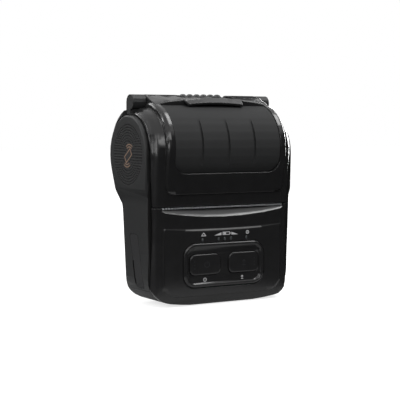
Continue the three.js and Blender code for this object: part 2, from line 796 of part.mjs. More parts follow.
function screwColumns() {
  const columns = [screwFootZ, screwTopZ].map((z) => join(
    rodY(screwX, z, screwRadius + clearance + pocketWall, postEndY, far),
    rodY(screwX, z, counterbore + pocketWall, screwHeadY - bezelWall, far)));
  return common(bothSides(join(...columns)), masterBody(caseWall / 2, sideInner + clearance));
}

const postEndY = boardBackY + 3 * clearance + bezelWall;
const screwHeadY = heelY - 4 * screwHeadHeight;

function screwHoles(radius, headRadius) {
  const holes = [screwFootZ, screwTopZ].map((z) => join(
    rodY(screwX, z, radius, 0, far), rodY(screwX, z, headRadius, screwHeadY, far)));
  return bothSides(join(...holes));
}

// The drum round the roll, whose ends stand out as shoulders behind the side plates
function rollDrum() {
  const corners = rectangle(rollY - rollShellRadius, rollZ - rollShellRadius,
    rollY + rollShellRadius, rollZ + rollShellRadius, rollShellRadius);
  const ends = roundedEnd(shoulderHalf, shoulderRound, 1);
  return loft('x', corners, [...ends.map(([place, drawn]) => [-place, drawn]).reverse(), ...ends]);
}

function rearHousing() {
  const shell = cut(join(backBody, rollDrum()), masterBody(caseWall, sideInner, innerRound));
  const outside = prismX(outline(plateCorners, -clearance), sideOuter, far);
  const beforeRoll = block(sideOuter, far, -far, rollY, slotZ - clearance, far);
  const flank = bothSides(join(outside, beforeRoll));
  const barrelRoom = block(-knuckleInner - clearance, knuckleInner + clearance,
    -far, hingeY + hingeGap, plateTopZ, far);
  let housing = cut(shell, flank, coverZone(rimInset, hingeY + hingeGap, slotZ - clearance), barrelRoom);
  housing = cut(housing, inFrontOfParting(0, -far, slotZ));
  const floorPocket = batteryPocketWalls();
  housing = join(housing, floorPocket, screwColumns());
  housing = cut(housing, batteryPocket(), screwHoles(screwRadius + clearance, counterbore));
  housing = cut(housing, portWindow(), leverSlot(), contactWindow());
  const knuckles = join(bothSides(endKnuckleSolid()), ribbedKnuckle());
  const pinBore = rodX(hingeY, hingeZ, hingePinRadius + clearance, -barrelHalf + bezelWall / 2, far);
  return cut(join(housing, knuckles), pinBore);
}

// Battery bay in the lower back

function batteryPocket() {
  return block(-batteryHalf - clearance, batteryHalf + clearance, batteryY - clearance, far,
    batteryFootZ - clearance, batteryTopZ + clearance);
}

function batteryPocketWalls() {
  const reach = pocketWall + clearance;
  const walls = block(-batteryHalf - reach, batteryHalf + reach, batteryY - reach, far,
    batteryFootZ - reach, batteryTopZ + reach);
  return common(walls, masterBody(caseWall / 2, sideInner + clearance));
}

function contactWindow() {
  return block(-contactHalf / 2 - bezelWall, contactHalf / 2 + bezelWall, boardBackY, batteryY + clearance,
    boardFootZ + overrun + 2 * clearance, boardFootZ + 2 * overrun - 2 * clearance);
}

function batteryPack() {
  const pack = loft('x', rectangle(batteryY, batteryFootZ, far, batteryTopZ, batteryRound / 3),
    [[-batteryHalf, batteryRound / 3], [-batteryHalf + batteryRound / 3, 0],
      [batteryHalf - batteryRound / 3, 0], [batteryHalf, batteryRound / 3]]);
  const catchRoom = block(-catchHalf - clearance, catchHalf + clearance,
    backYAt(batteryTopZ) - catchDepth - clearance, far,
    batteryTopZ - catchDrop - catchTravel - clearance, far);
  const contactRoom = block(-contactHalf - clearance, contactHalf + clearance,
    batteryY - overrun, batteryY + clearance + contactHeight, boardFootZ + overrun,
    boardFootZ + 2 * overrun);
  return cut(common(pack, body), catchRoom, contactRoom);
}

const contactHeight = 1;
const backYAt = (z) => heelY + (kneeY - heelY) * z / kneeZ;

function batteryLatch() {
  const y1 = backYAt(batteryTopZ - catchDrop) - clearance;
  const y0 = backYAt(batteryTopZ) - catchDepth;
  const z0 = batteryTopZ - catchDrop;
  const slab = block(-catchHalf, catchHalf, y0, y1, z0, batteryTopZ);
  const grooves = [1, 2, 3].map((i) =>
    block(-catchHalf + bezelWall, catchHalf - bezelWall, y1 - clearance, far,
    z0 + i * catchDrop / 4 - clearance, z0 + i * catchDrop / 4 + clearance));
  return cut(slab, ...grooves);
}

function batteryContacts() {
  const z0 = boardFootZ + overrun + clearance;
  const z1 = boardFootZ + 2 * overrun - clearance;
  const y0 = batteryY - clearance - pocketWall;
  const blockBody = block(-contactHalf, contactHalf, boardBackY + clearance, y0 - clearance, z0, z1);
  const blades = [-1, 0, 1].map((i) =>
    block(i * contactHalf / 2 - clearance, i * contactHalf / 2 + clearance,
    y0 - 2 * clearance, batteryY + contactHeight / 2, z0 + 2 * clearance, z1 - 2 * clearance));
  return join(blockBody, ...blades);
}

// Side plates

function sidePlate() {
  const skin = common(backBody, prismX(outline(plateCorners), sideOuter + clearance, far));
  const pad = loft('x', plateCorners, [[sideOuter + clearance, 0], ...roundedEnd(padHalf, padRound, 1)]);
  const fade = prismY([
    new THREE.Vector2(0, padFootZ), new THREE.Vector2(sideOuter, padFootZ),
    new THREE.Vector2(padHalf, padFootZ + padFade),
    new THREE.Vector2(far, far), new THREE.Vector2(0, far)], -far, far);
  const profile = prismX(outline(sideCorners), 0, far);
  return join(skin, common(pad, fade, profile));
}

// Rubber cover over the sockets, and what is cut for it

function portCorners(grow = 0) {
  const radius = Math.max(portRound + grow, clearance);
  return [
    [portFootY - grow, portFootZ - grow, radius], [portFootY + portWidth + grow, portFootZ - grow, radius],
    [portTopY + portWidth + grow, portTopZ + grow, radius], [portTopY - grow, portTopZ + grow, radius]];
}

function portWindow() {
  return prismX(outline(portCorners(-portLip)), -far, overrun - sideInner);
}

// Rear edge of the port cover at a height
const portRearY = (z) =>
  portFootY + portWidth + (portTopY - portFootY) * (z - portFootZ) / (portTopZ - portFootZ);

function portCover() {
  const inner = sideOuter + clearance;
  const flap = common(backBody, prismX(outline(portCorners()), inner, far));
  const plug = prismX(outline(portCorners(-portLip - 2 * clearance)), inner - portLip, inner + clearance);
  const hollow = prismX(outline(portCorners(-portLip - 2 * clearance - portPlugWall)),
    inner - 2 * portLip, inner);
  const [z0, z1] = [portFootZ + portRound, (portFootZ + portTopZ) / 2];
  const notch = prismX([
    new THREE.Vector2(portRearY(z0) - portNotch, z0), new THREE.Vector2(portRearY(z0) + portNotch, z0),
    new THREE.Vector2(portRearY(z1) + portNotch, z1),
    new THREE.Vector2(portRearY(z1) - portNotch, z1)], inner, far);
  return mirrored(cut(join(flap, plug), hollow, notch));
}

// Release lever and the yoke that it moves

const leverY = leverFrontY + leverDepth / 2;

function leverWindow(grow) {
  return prismX(outline(rectangle(leverFrontY - grow, leverFootZ - latchTravel - grow,
    leverFrontY + leverDepth + grow, leverTopZ + grow, bezelWall)), sideOuter + clearance, far);
}

function leverSlot() {
  return block(sideInner - overrun, far, leverY - bezelWall - clearance, leverY + bezelWall + clearance,
    leverStemFootZ - latchTravel - clearance, leverStemTopZ + clearance);
}

function releaseLever() {
  const x0 = sideOuter + 2 * clearance;
  const knob = loft('x',
    rectangle(leverFrontY, leverFootZ, leverFrontY + leverDepth, leverTopZ, bezelWall - clearance),
    [[x0, 0], ...roundedEnd(leverProud, leverRibDepth, 1, 2)]);
  const pitch = (leverTopZ - leverFootZ) / (leverRibs + 1);
  const grooves = Array.from({ length: leverRibs }, (_, i) => {
    const z = leverFootZ + pitch * (i + 1);
    return block(leverProud - leverRibDepth, far, -far, far, z - pitch / 4, z + pitch / 4);
  });
  const stem = block(yokeX + yokeThickness + clearance, x0, leverY - bezelWall, leverY + bezelWall,
    leverStemFootZ, leverStemTopZ);
  return join(cut(knob, ...grooves), stem);
}

function latchYoke() {
  const bar = block(-yokeX - yokeThickness, yokeX + yokeThickness, yokeY, yokeY + yokeDepth,
    yokeFootZ, yokeFootZ + yokeBarHeight);
  const legCorners = [
    [yokeY, yokeFootZ, 0], [leverY + bezelWall, yokeFootZ, 0], [leverY + bezelWall, leverStemTopZ, 0],
    [yokeY + yokeDepth + bezelWall, yokeFootZ + 2 * yokeBarHeight, 0],
    [yokeY + yokeDepth + bezelWall, platenZ - platenEnd - clearance, 0],
    [platenY, platenZ - platenEnd - clearance, 0],
    [yokeY + bezelWall, yokeTopZ, 0], [yokeY, yokeTopZ - bezelWall, 0]];
  const leg = prismX(outline(legCorners), yokeX, yokeX + yokeThickness);
  return join(bar, bothSides(leg));
}

const latchSeatZ = yokeFootZ - 2 * latchTravel;

function latchSpring() {
  const half = latchSpringRadius + clearance;
  return coil(yokeX, yokeY + half, latchSeatZ + clearance, yokeFootZ - clearance,
    latchSpringRadius, clearance, 5);
}

// Cover

function coverBarrel() {
  return rodX(hingeY, hingeZ, barrelRadius, notchHalf, knuckleInner - clearance);
}

function coverShell() {
  const outer = join(body, raisedCentre(0), visor(0));
  const inner = join(masterBody(coverWall, sideInner + coverWall), raisedCentre(coverWall),
    visor(coverWall));
  const shell = cut(outer, cut(inner, visorNotch(coverWall)));
  const skirt = block(sideOuter + clearance, far, -far, rollY, slotZ + slotHalfGap, far);
  const zone = join(coverZone(coverInset, hingeY, slotZ + slotHalfGap), bothSides(skirt));
  const plateRoom = bothSides(prismX(outline(plateCorners, -plateGap), sideOuter + clearance / 3, far));
  const behindParting = prismX([
    new THREE.Vector2(partY(-far) - plateGap, -far), new THREE.Vector2(far, -far),
    new THREE.Vector2(far, plateCentreZ),
    new THREE.Vector2(partY(plateCentreZ) - plateGap, plateCentreZ)], sideOuter - bezelWall, far);
  const behindHinge = block(-far, far, hingeY - barrelRadius, far, -far, hingeZ);
  let cover = cut(common(shell, zone), plateRoom, bothSides(behindParting), domeOpening(0), behindHinge);
  cover = join(cover, domeLedge(), visorTab(), bothSides(coverBarrel()));
  const knuckleRoom = bothSides(rodX(hingeY, hingeZ, barrelRadius + coverWall,
    knuckleInner - clearance, far));
  const ribRoom = rodX(hingeY, hingeZ, ribRadius + seam, -notchHalf, notchHalf);
  const pinBore = rodX(hingeY, hingeZ, hingePinRadius + clearance, -far, far);
  return cut(cover, knuckleRoom, ribRoom, visorNotch(0), pinBore);
}

// Wall that closes the step between the frame and the lower edge of the dome
function domeLedge() {
  const [inside, outside] = [domeCorners, domeCorners].map((corners, i) =>
    prismY(outline(corners, -i * coverWall),
    -far, domeY));
  const band = block(-far, far, -far, far, domeFootZ - coverWall, domeFootZ + coverWall);
  const ring = common(cut(outside, inside), band, raisedCentre(0));
  return cut(ring, rodX(rollY, rollZ, bayRadius + coverWall, -far, far));
}

const domeCorners = [
  [-domeHalf, domeFootZ, domeFootRound], [domeHalf, domeFootZ, domeFootRound],
  [domeHalf, far, 0], [-domeHalf, far, 0]];

function domeOpening(shrink) {
  return prismY(outline(domeCorners, shrink), -far, visorFrontY - shrink);
}

function domeCylinder(radius) {
  return rodX(domeY, domeZ, radius, -raisedHalf, raisedHalf);
}

function coverDome() {
  const skin = cut(domeCylinder(domeRadius), domeCylinder(domeRadius - domeThickness));
  const dome = common(skin, domeOpening(clearance));
  const grooves = Array.from({ length: grooveCount },
    (_, i) => grooveCutter((i - (grooveCount - 1) / 2) * grooveSpacing));
  return cut(dome, ...grooves);
}

// A crescent slab whose inner arc dips into the dome in the middle and leaves it at both ends
function grooveCutter(x) {
  const span = THREE.MathUtils.degToRad(grooveHalfSpan);
  const rise = domeRadius * (1 - Math.cos(span)) - grooveDepth;
  const chord = domeRadius * Math.sin(span);
  const radius = (chord * chord + rise * rise) / (2 * rise);
  const shift = domeRadius - grooveDepth - radius;
  const middle = THREE.MathUtils.degToRad(grooveMiddle);
  const inner = circle(domeY + shift * Math.cos(middle), domeZ + shift * Math.sin(middle), radius);
  const slab = rodX(domeY, domeZ, domeRadius + overrun, x - grooveWidth / 2, x + grooveWidth / 2);
  const front = block(-far, far, -far, domeY, -far, far);
  return common(front, cut(slab, prismX(inner, -far, far)));
}

// Inner frame of the cover with the arms of the platen
function coverLiner() {
  const skin = cut(rodX(rollY, rollZ, bayRadius + coverWall - 2 * clearance, -armX - armThickness,
    armX + armThickness),
    rodX(rollY, rollZ, bayRadius, -far, far));
  const front = prismX([
    new THREE.Vector2(-far, platenZ + overrun), new THREE.Vector2(platenY, platenZ + overrun),
    new THREE.Vector2(rollY, rollZ), new THREE.Vector2(rollY - coverWall, far),
    new THREE.Vector2(-far, far)], -far, far);
  const room = join(raisedCentre(coverWall + clearance), masterBody(coverWall + clearance, sideInner));
  const wing = cut(common(room, front,
    block(armX, armX + armThickness, -far, hingeY - hingeGap, -far, far)),
    rodX(rollY, rollZ, bayRadius, -far, far));
  const arm = prismX(outline([
    [platenY - platenCore - bezelWall, platenZ - platenCore - clearance, bezelWall],
    [platenY + platenCore + bezelWall, platenZ - platenCore - clearance, bezelWall],
    [platenY + platenCore + bezelWall, platenZ + 2 * overrun, 0],
    [platenY - platenCore - bezelWall, platenZ + 2 * overrun, 0]]), armX, armX + armThickness);
  const side = bothSides(join(wing, cut(arm, rodX(rollY, rollZ, bayRadius, -far, far))));
  const bushBore = rodX(platenY, platenZ, platenCore + bezelWall / 2 + clearance, -far, far);
  return common(cut(join(common(skin, front, room), side), bushBore), underDome());
}

// Space inside the dome insert and below it, the only room that the inner frame may take
function underDome() {
  const below = block(-far, far, -far, far, -far, domeFootZ - domeThickness);
  return join(rodX(domeY, domeZ, domeRadius - domeThickness - clearance, -far, far), below);
}

// Front bezel

// Cutter above an arc that sags in the middle and rises by the slope towards the back
function aboveArc(half, drop, sag, slope) {
  const radius = (half * half + sag * sag) / (2 * sag);
  const turn = THREE.MathUtils.radToDeg(Math.asin(half / radius));
  const edge = arcPoints(0, slotZ - drop - sag + radius, radius, 270 - turn, 270 + turn);
  const top = [new THREE.Vector2(half, slotZ + half), new THREE.Vector2(-half, slotZ + half)];
  const cutter = extrusion([...edge, ...top], 3 * overrun).applyMatrix4(basisY);
  const shear = new THREE.Matrix4().set(
    1, 0, 0, 0,
    0, 1, 0, 0,
    0, slope, 1, 0,
    0, 0, 0, 1);
  return toSolid(cutter.translate(0, 3 * overrun / 2, 0).applyMatrix4(shear));
}

// Solid lip under the slot, from which the scoop is cut
function tearLip() {
  const foot = slotZ - 2 * scoopDrop;
  const lip = prismX([
    new THREE.Vector2(-far, foot), new THREE.Vector2(bezelWall, foot),
    new THREE.Vector2(tearBarDepth, foot + scoopDrop / 2),
    new THREE.Vector2(tearBarDepth, slotZ - slotHalfGap), new THREE.Vector2(-far, slotZ - slotHalfGap)],
  -scoopHalf - bezelWall, scoopHalf + bezelWall);
  return common(lip, body);
}

function bezelPanel() {
  const corners = [
    [-panelHalf, panelFootZ, panelRound], [panelHalf, panelFootZ, panelRound],
    [panelHalf, slotZ - scoopDrop, 0],
    [-panelHalf, slotZ - scoopDrop, 0]];
  const plate = prismY(outline(corners), -overrun, bezelWall);
  const radius = (panelHalf * panelHalf + panelCrown * panelCrown) / (2 * panelCrown);
  const crown = prismZ(arcPoints(0, radius - panelCrown - panelRise, radius, 180, 360), 0, slotZ);
  return cut(common(plate, crown), aboveArc(panelHalf + overrun, panelDrop, panelSag, panelSlope));
}

function bezelPosts() {
  const posts = [screwFootZ, screwTopZ].map((z) =>
    rodY(screwX, z, postRadius, bezelWall / 2, postEndY - clearance));
  const feet = [screwFootZ, boardTopZ - bezelWall - postBore].map((z) =>
    rodY(boardHalf - overrun, z, postBore,
    bezelWall / 2, boardY - clearance));
  const ledge = block(yokeX - bezelWall, sideInner - clearance, bezelWall / 2, yokeY + 2 * bezelWall,
    latchSeatZ - bezelWall / 2, latchSeatZ);
  return join(bothSides(join(...posts, ...feet)), ledge);
}

function frontBezel() {
  const shell = cut(body, masterBody(bezelWall, sideInner + clearance, innerRound));
  const zone = common(inFrontOfParting(seam, -far, slotZ - slotHalfGap),
    block(-far, far, -far, far, -far, slotZ - slotHalfGap));
  const bezel = join(common(shell, zone), tearLip(), bezelPanel(),
    common(bezelPosts(), masterBody(bezelWall / 2, bodyHalf)));
  const padHole = prismY(outline(rectangle(-buttonPadHalf, buttonPadFootZ, buttonPadHalf,
    buttonPadTopZ, buttonPadRound),
    -clearance), -far, boardY - bezelWall);
  const lamps = lampXs.map((x) => prismY(outline(rectangle(x - lampHalfWidth, lampZ - lampHalfHeight,
    x + lampHalfWidth, lampZ + lampHalfHeight, lampHalfWidth), -clearance), -far, boardY - bezelWall));
  const pilots = bothSides(join(...[screwFootZ, screwTopZ].map((z) =>
    rodY(screwX, z, screwRadius + clearance,
    bezelWall + clearance, far))));
  return cut(bezel, padHole, ...lamps,
    aboveArc(scoopHalf, scoopEnd, scoopDrop - scoopEnd, scoopSlope), pilots, tearBarSeat(), sideRoom());
}

// Room along the sides for the walls of the rear housing
function sideRoom() {
  return bothSides(cut(block(sideInner - clearance, far, 0, far, -far, far),
    inFrontOfParting(seam, -far, far)));
}

function tearBarSeat() {
  return block(-scoopHalf, scoopHalf, -far, tearBarDepth + clearance - seam,
    slotZ - slotHalfGap - tearBarHeight - clearance, far);
}

function tearBar() {
  const top = slotZ - slotHalfGap;
  const count = Math.round(2 * (scoopHalf - clearance) / toothPitch);
  const pitch = 2 * (scoopHalf - clearance) / count;
  const front = -toothDepth;
  const edge = Array.from({ length: count }, (_, i) => {
    const x = -scoopHalf + clearance + i * pitch;
    return [new THREE.Vector2(x, front + toothDepth), new THREE.Vector2(x + pitch / 2, front)];
  }).flat();
  const end = new THREE.Vector2(scoopHalf - clearance, front + toothDepth);
  const back = [new THREE.Vector2(scoopHalf - clearance, tearBarDepth - seam - clearance),
    new THREE.Vector2(-scoopHalf + clearance, tearBarDepth - seam - clearance)];
  return prismZ([...edge, end, ...back], top - tearBarHeight, top);
}

// Button pad, buttons and lamps

function buttonCorners(grow = 0) {
  return rectangle(buttonCentreX - buttonHalf - grow, buttonCentreZ - buttonHalfHeight - grow,
    buttonCentreX + buttonHalf + grow, buttonCentreZ + buttonHalfHeight + grow, buttonRound + grow);
}

function buttonPad() {
  const corners = rectangle(-buttonPadHalf, buttonPadFootZ, buttonPadHalf, buttonPadTopZ, buttonPadRound);
  const rimStations = [...roundedEnd(-buttonPadProud, buttonPadRim / 2, -1), [buttonPadBack, 0]];
  const rim = loft('y', corners, rimStations);
  const sunk = loft('y', corners, [[-buttonPadProud - overrun, buttonPadRim - clearance],
    [-buttonPadProud, buttonPadRim - clearance], [-buttonPadFloor, buttonPadRim + clearance]]);
  const holes = bothSides(prismY(outline(buttonCorners(clearance)), -far, far));
  return cut(rim, sunk, holes);
}

function pushButton() {
  const cap = loft('y', buttonCorners(),
    [...roundedEnd(-buttonProud, buttonEdge, -1), [buttonPadBack + clearance, 0]]);
  const flange = prismY(outline(buttonCorners(buttonFlange)), buttonPadBack + clearance,
    buttonPadBack + 2 * buttonFlange);
  const stemEnd = boardY - switchHeight - plungerHeight - clearance - buttonTravel;
  const stem = rodY(buttonCentreX, buttonCentreZ, stemRadius, buttonPadBack + buttonFlange, stemEnd);
  return join(cap, flange, stem);
}

function tactSwitch() {
  const top = boardY - clearance - switchHeight;
  const base = block(buttonCentreX - switchHalf, buttonCentreX + switchHalf, top, boardY - clearance,
    buttonCentreZ - switchHalf, buttonCentreZ + switchHalf);
  return join(base, rodY(buttonCentreX, buttonCentreZ, plungerRadius, top - plungerHeight,
    top + plungerHeight));
}

function lightGuide() {
  const back = bezelWall + clearance;
  const bar = block(-lightBarHalf, lightBarHalf, back, back + lightBarDepth,
    lampZ - lampHalfHeight, lampZ + lampHalfHeight);
  const tips = lampXs.map((x) => {
    const bow = (panelCrown + panelRise) - panelCrown * (x / panelHalf) ** 2;
    return prismY(outline(rectangle(x - lampHalfWidth, lampZ - lampHalfHeight, x + lampHalfWidth,
      lampZ + lampHalfHeight, lampHalfWidth)), -bow, back + clearance);
  });
  return join(bar, ...tips);
}

// Main board and what sits on it

function mainBoard() {
  const board = prismY(outline(rectangle(-boardHalf, boardFootZ, boardHalf, boardTopZ, bezelWall)),
    boardY, boardBackY);
  const chipPlaces = [[-boardHalf / 2, boardTopZ - overrun], [boardHalf / 4, boardTopZ - 2 * overrun]];
  const chips = chipPlaces.map(([x, z]) => block(x - overrun, x + overrun, boardBackY - clearance,
    boardBackY + bezelWall, z - overrun, z + overrun / 2));
  return join(board, ...chips);
}

function usbSocket() {
  const x1 = -socketMouthX + usbLength;
  const shell = block(-socketMouthX, x1, boardBackY + clearance, boardBackY + clearance + usbDepth,
    usbZ - usbHalfHeight, usbZ + usbHalfHeight);
  const mouthY = boardBackY + clearance + usbDepth - usbMouthDepth;
  const mouth = prismX(outline(rectangle(mouthY - clearance, usbZ - usbMouthHalf,
    mouthY + usbMouthDepth - 2 * clearance,
    usbZ + usbMouthHalf, usbMouthDepth / 3)), -far, x1 - bezelWall);
  const tongue = block(-socketMouthX + clearance, x1 - bezelWall / 2, mouthY + usbMouthDepth / 3,
    mouthY + usbMouthDepth / 2, usbZ - usbMouthHalf / 2, usbZ + usbMouthHalf / 2);
  return join(cut(shell, mouth), tongue);
}

function dcSocket() {
  const x1 = -socketMouthX + dcLength;
  const y0 = boardBackY + clearance;
  const y = y0 + dcDepth / 2 + dcOffset;
  const shell = block(-socketMouthX, x1, y0, y0 + dcDepth, dcZ - dcHalfHeight, dcZ + dcHalfHeight);
  const bore = rodX(y, dcZ, dcBore, -far, x1 - bezelWall);
  return join(cut(shell, bore), rodX(y, dcZ, dcPin, -socketMouthX + bezelWall, x1 - bezelWall / 2));
}

function caseScrew(z) {
  const head = rodY(screwX, z, screwHeadRadius, screwHeadY + clearance,
    screwHeadY + clearance + screwHeadHeight);
  const shank = rodY(screwX, z, screwRadius, screwHeadY - screwLength, screwHeadY + 2 * clearance);
  const drive = [0, 1].map((turn) =>
    block(-screwHeadRadius / 2, screwHeadRadius / 2, screwHeadY + screwHeadHeight / 2, far,
    -clearance, clearance).rotate([0, 90 * turn, 0]).translate([screwX, 0, z]));
  return cut(join(head, shank), ...drive);
}

// Print mechanism

function printFrame() {
  const top = platenZ + platenRadius;
  const mountTop = rackZ - 2 * clearance;
  const plateCornersHere = [
    [yokeY + yokeDepth + seam, frameFootZ, 0], [motorY + motorRadius, frameFootZ, 0],
    [motorY + motorRadius, mountTop - overrun, overrun / 2],
    [motorY + motorRadius / 2, mountTop, overrun / 2],
    [trayFrontY - clearance, mountTop, 0], [trayFrontY - clearance, top - platenCore, bezelWall],
    [tearBarDepth + seam, top - platenCore, bezelWall],
    [tearBarDepth + seam, yokeFootZ + 2 * yokeBarHeight, 0],
    [yokeY + yokeDepth + seam, yokeFootZ + 1.5 * yokeBarHeight, 0]];
  const cheek = prismX(outline(plateCornersHere), frameX, frameX + frameThickness);
  const seat = platenCore + clearance;
  const mouth = prismX([
    new THREE.Vector2(platenY, platenZ - seat), new THREE.Vector2(platenY - far, platenZ - seat),
    new THREE.Vector2(platenY - far, platenZ + far), new THREE.Vector2(platenY + far / 4, platenZ + far),
    new THREE.Vector2(platenY + seat, platenZ + seat), new THREE.Vector2(platenY + seat, platenZ)],
    -far, far);
  const notch = join(rodX(platenY, platenZ, seat, -far, far), mouth);
  const cheeks = cut(bothSides(cheek), notch);
  const floor = block(-frameX - clearance, frameX + clearance, trayFrontY / 2, motorY + motorRadius,
    frameFootZ, frameFootZ + frameThickness);
  const motorHole = rodX(motorY, motorZ, motorBoss + clearance, 0, far);
  return cut(join(cheeks, floor), motorHole);
}

function headSink() {
  const y0 = platenY - platenCore - clearance;
  const plate = block(-headHalf, headHalf, y0, y0 + headDepth,
    headTopZ - headStrip - clearance - headThickness,
    headTopZ - headStrip - clearance);
  const ribs = Array.from({ length: 5 }, (_, i) => {
    const y = y0 + headDepth * (i + 0.5) / 5;
    return block(-headHalf + overrun, headHalf - overrun, y - clearance * 2, y + clearance * 2,
      headTopZ - headStrip - 2 * headThickness, headTopZ - headStrip - headThickness);
  });
  return join(plate, ...ribs);
}

function headStripSolid() {
  const y0 = platenY - headStripDepth / 3;
  return block(-headHalf + clearance, headHalf - clearance, y0, y0 + headStripDepth,
    headTopZ - headStrip, headTopZ);
}

function headSpring(x) {
  const z0 = frameFootZ + frameThickness + clearance;
  const z1 = headTopZ - headStrip - 2 * headThickness - clearance;
  return coil(x, platenY + headDepth / 2 - platenCore, z0, z1, platenCore, clearance, 3);
}

const halfTooth = (teeth) => Math.PI / teeth;

function platenShaft() {
  const core = rodX(platenY, platenZ, platenCore, -armX - armThickness - clearance,
    frameX + frameThickness);
  const ends = rodX(platenY, platenZ, platenEnd, -yokeX + clearance, yokeX - clearance);
  return join(core, ends);
}

function platenRubber() {
  return cut(rodX(platenY, platenZ, platenRadius, -platenHalf, platenHalf),
    rodX(platenY, platenZ, platenCore + clearance, -far, far));
}

function gearSolid(y, z, teeth, phase, bore) {
  const wheel = prismX(gearOutline(y, z, teeth, gearModule, phase), gearX, gearX + gearWidth);
  return cut(wheel, rodX(y, z, bore + clearance, -far, far));
}

const platenGear = () => gearSolid(platenY, platenZ, platenTeeth, gearLine, platenEnd);
const idlerGear = () =>
  gearSolid(idlerY, idlerZ, idlerTeeth, gearLine + Math.PI + halfTooth(idlerTeeth), platenEnd);
const idlerMeets = gearLine + Math.PI + halfTooth(idlerTeeth);
// At the pinion the idler shows a tooth or a gap, and the pinion shows the other
const toothAtPinion = Math.round((gearLine - idlerMeets) / (2 * halfTooth(idlerTeeth)) * 2) % 2 === 0;
const motorPinion = () => gearSolid(motorY, motorZ, motorTeeth,
  gearLine + Math.PI + (toothAtPinion ? halfTooth(motorTeeth) : 0), motorShaft);

function idlerStud() {
  return join(rodX(idlerY, idlerZ, platenEnd, frameX + frameThickness + clearance,
    gearX + gearWidth + clearance),
    rodX(idlerY, idlerZ, platenEnd + bezelWall / 2, gearX + gearWidth + clearance,
    gearX + gearWidth + 2 * clearance
      + frameThickness / 2));
}

function feedMotor() {
  const x1 = frameX - clearance;
  const can = rodX(motorY, motorZ, motorRadius, x1 - motorLength, x1);
  const boss = rodX(motorY, motorZ, motorBoss, x1 - clearance, frameX + frameThickness);
  const shaft = rodX(motorY, motorZ, motorShaft, x1 - clearance, gearX + gearWidth + clearance);
  const tail = block(x1 - motorLength - bezelWall, x1 - motorLength + clearance, motorY - motorRadius / 2,
    motorY + motorRadius / 2, motorZ - motorRadius / 2, motorZ + motorRadius / 2);
  return join(can, boss, shaft, tail);
}

function platenBush() {
  const x0 = armX - clearance / 3;
  const ring = rodX(platenY, platenZ, platenCore + bezelWall / 2, x0, armX + armThickness + clearance / 3);
  return cut(ring, rodX(platenY, platenZ, platenCore + clearance / 2, -far, far));
}

function gapSensor() {
  const y0 = platenY + platenRadius + clearance;
  return block(-overrun, overrun, y0 + clearance, trayFrontY + overrun / 2, headTopZ - headStrip,
    headTopZ + headStrip);
}

// Roll tray and media guides

function rollTray() {
  const inside = masterBody(caseWall + clearance, sideInner - clearance);
  const slab = block(-far, far, trayFrontY, trayBackY, rackZ + rackHeight + clearance,
    rollZ - bayRadius / 2);
  const bay = rodX(rollY, rollZ, bayRadius, -far, far);
  const shell = rodX(rollY, rollZ, bayRadius + trayThickness, -far, far);
  const flat = block(-far, far, trayFrontY, trayBackY, rackZ + rackHeight + clearance,
    rackZ + rackHeight + clearance + trayThickness);
  let tray = cut(common(inside, slab, join(shell, flat)), bay);
  const slots = [[guideFootFrontY, 1], [guideFootBackY, -1]].map(([y, side]) => {
    const x0 = guideInner - guideTravel - clearance;
    const x1 = guideInner + guideThickness + clearance;
    const slot = block(x0, x1, y - rackWidth / 2 - clearance, y + rackWidth / 2 + clearance, -far, far);
    return side > 0 ? slot : mirrored(slot);
  });
  const stud = rodZ(0, guidePinionY, hubBore / 2, rackZ - bezelWall, rackZ + rackHeight + 2 * clearance);
  const gearCorner = block(gearX - clearance, far, -far, idlerY + idlerPitch + 3 * clearance, -far,
    idlerZ + idlerPitch + 3 * clearance);
  return join(cut(tray, ...slots, gearCorner), stud);
}

// The guide on the right side; its rack lies on the front side of the pinion
function mediaGuide(footY, toothSide) {
  const x0 = guideInner;
  const x1 = x0 + guideThickness;
  const footZ = rackZ + rackHeight - clearance;
  const disc = rodX(rollY, rollZ, guideDisc, x0, x1);
  const spread = guideDisc * guideSpreadShare;
  const legTop = rollZ - bayRadius + overrun;
  const leg = prismX([
    new THREE.Vector2(footY - rackWidth / 2, footZ), new THREE.Vector2(footY + rackWidth / 2, footZ),
    new THREE.Vector2(footY + rackWidth / 2, legTop), new THREE.Vector2(rollY + spread, rollZ - spread / 2),
    new THREE.Vector2(rollY - spread, rollZ - spread / 2),
    new THREE.Vector2(footY - rackWidth / 2, legTop)], x0, x1);
  const rack = block(-rackReach, x1, footY - rackWidth / 2, footY + rackWidth / 2, rackZ,
    rackZ + rackHeight);
  const pitch = Math.PI * guideModule;
  const pitchY = footY + toothSide * (rackWidth / 2 + guideModule * toothReach);
  const teeth = [];
  for (let i = -Math.floor(rackReach / pitch); i * pitch < mediaHalf - overrun; i += 1) {
    const x = i * pitch;
    if (x - pitch / 2 < -rackReach) continue;
    const baseY = footY + toothSide * (rackWidth / 2 - clearance);
    const tipY = pitchY + toothSide * guideModule * rackTipShare;
    const profile = [[-rootShare, baseY], [rootShare, baseY], [tipShare, tipY], [-tipShare, tipY]];
    const tooth = profile.map(([share, y]) =>
      new THREE.Vector2(x + toothSide * share * pitch, y));
    teeth.push(prismZ(tooth, rackZ, rackZ + rackHeight));
  }
  const hubHole = rodX(rollY, rollZ, hubBore + clearance, -far, far);
  return join(cut(join(disc, leg), hubHole), rack, ...teeth);
}

// The cone that enters the core of the roll
function guideHub() {
  const x0 = guideInner;
  const profile = [
    [0, x0 - hubLength], [hubRadius - bezelWall, x0 - hubLength], [hubRadius, x0 - hubLength / 2],
    [hubRadius, x0 - clearance], [hubBore, x0 - clearance], [hubBore, x0 + guideThickness + clearance],
    [0, x0 + guideThickness + clearance]];
  const lathe = new THREE.LatheGeometry(profile.map(([r, h]) => new THREE.Vector2(r, h)), 24);
  return toSolid(lathe.rotateZ(-Math.PI / 2).translate(0, rollY, rollZ));
}

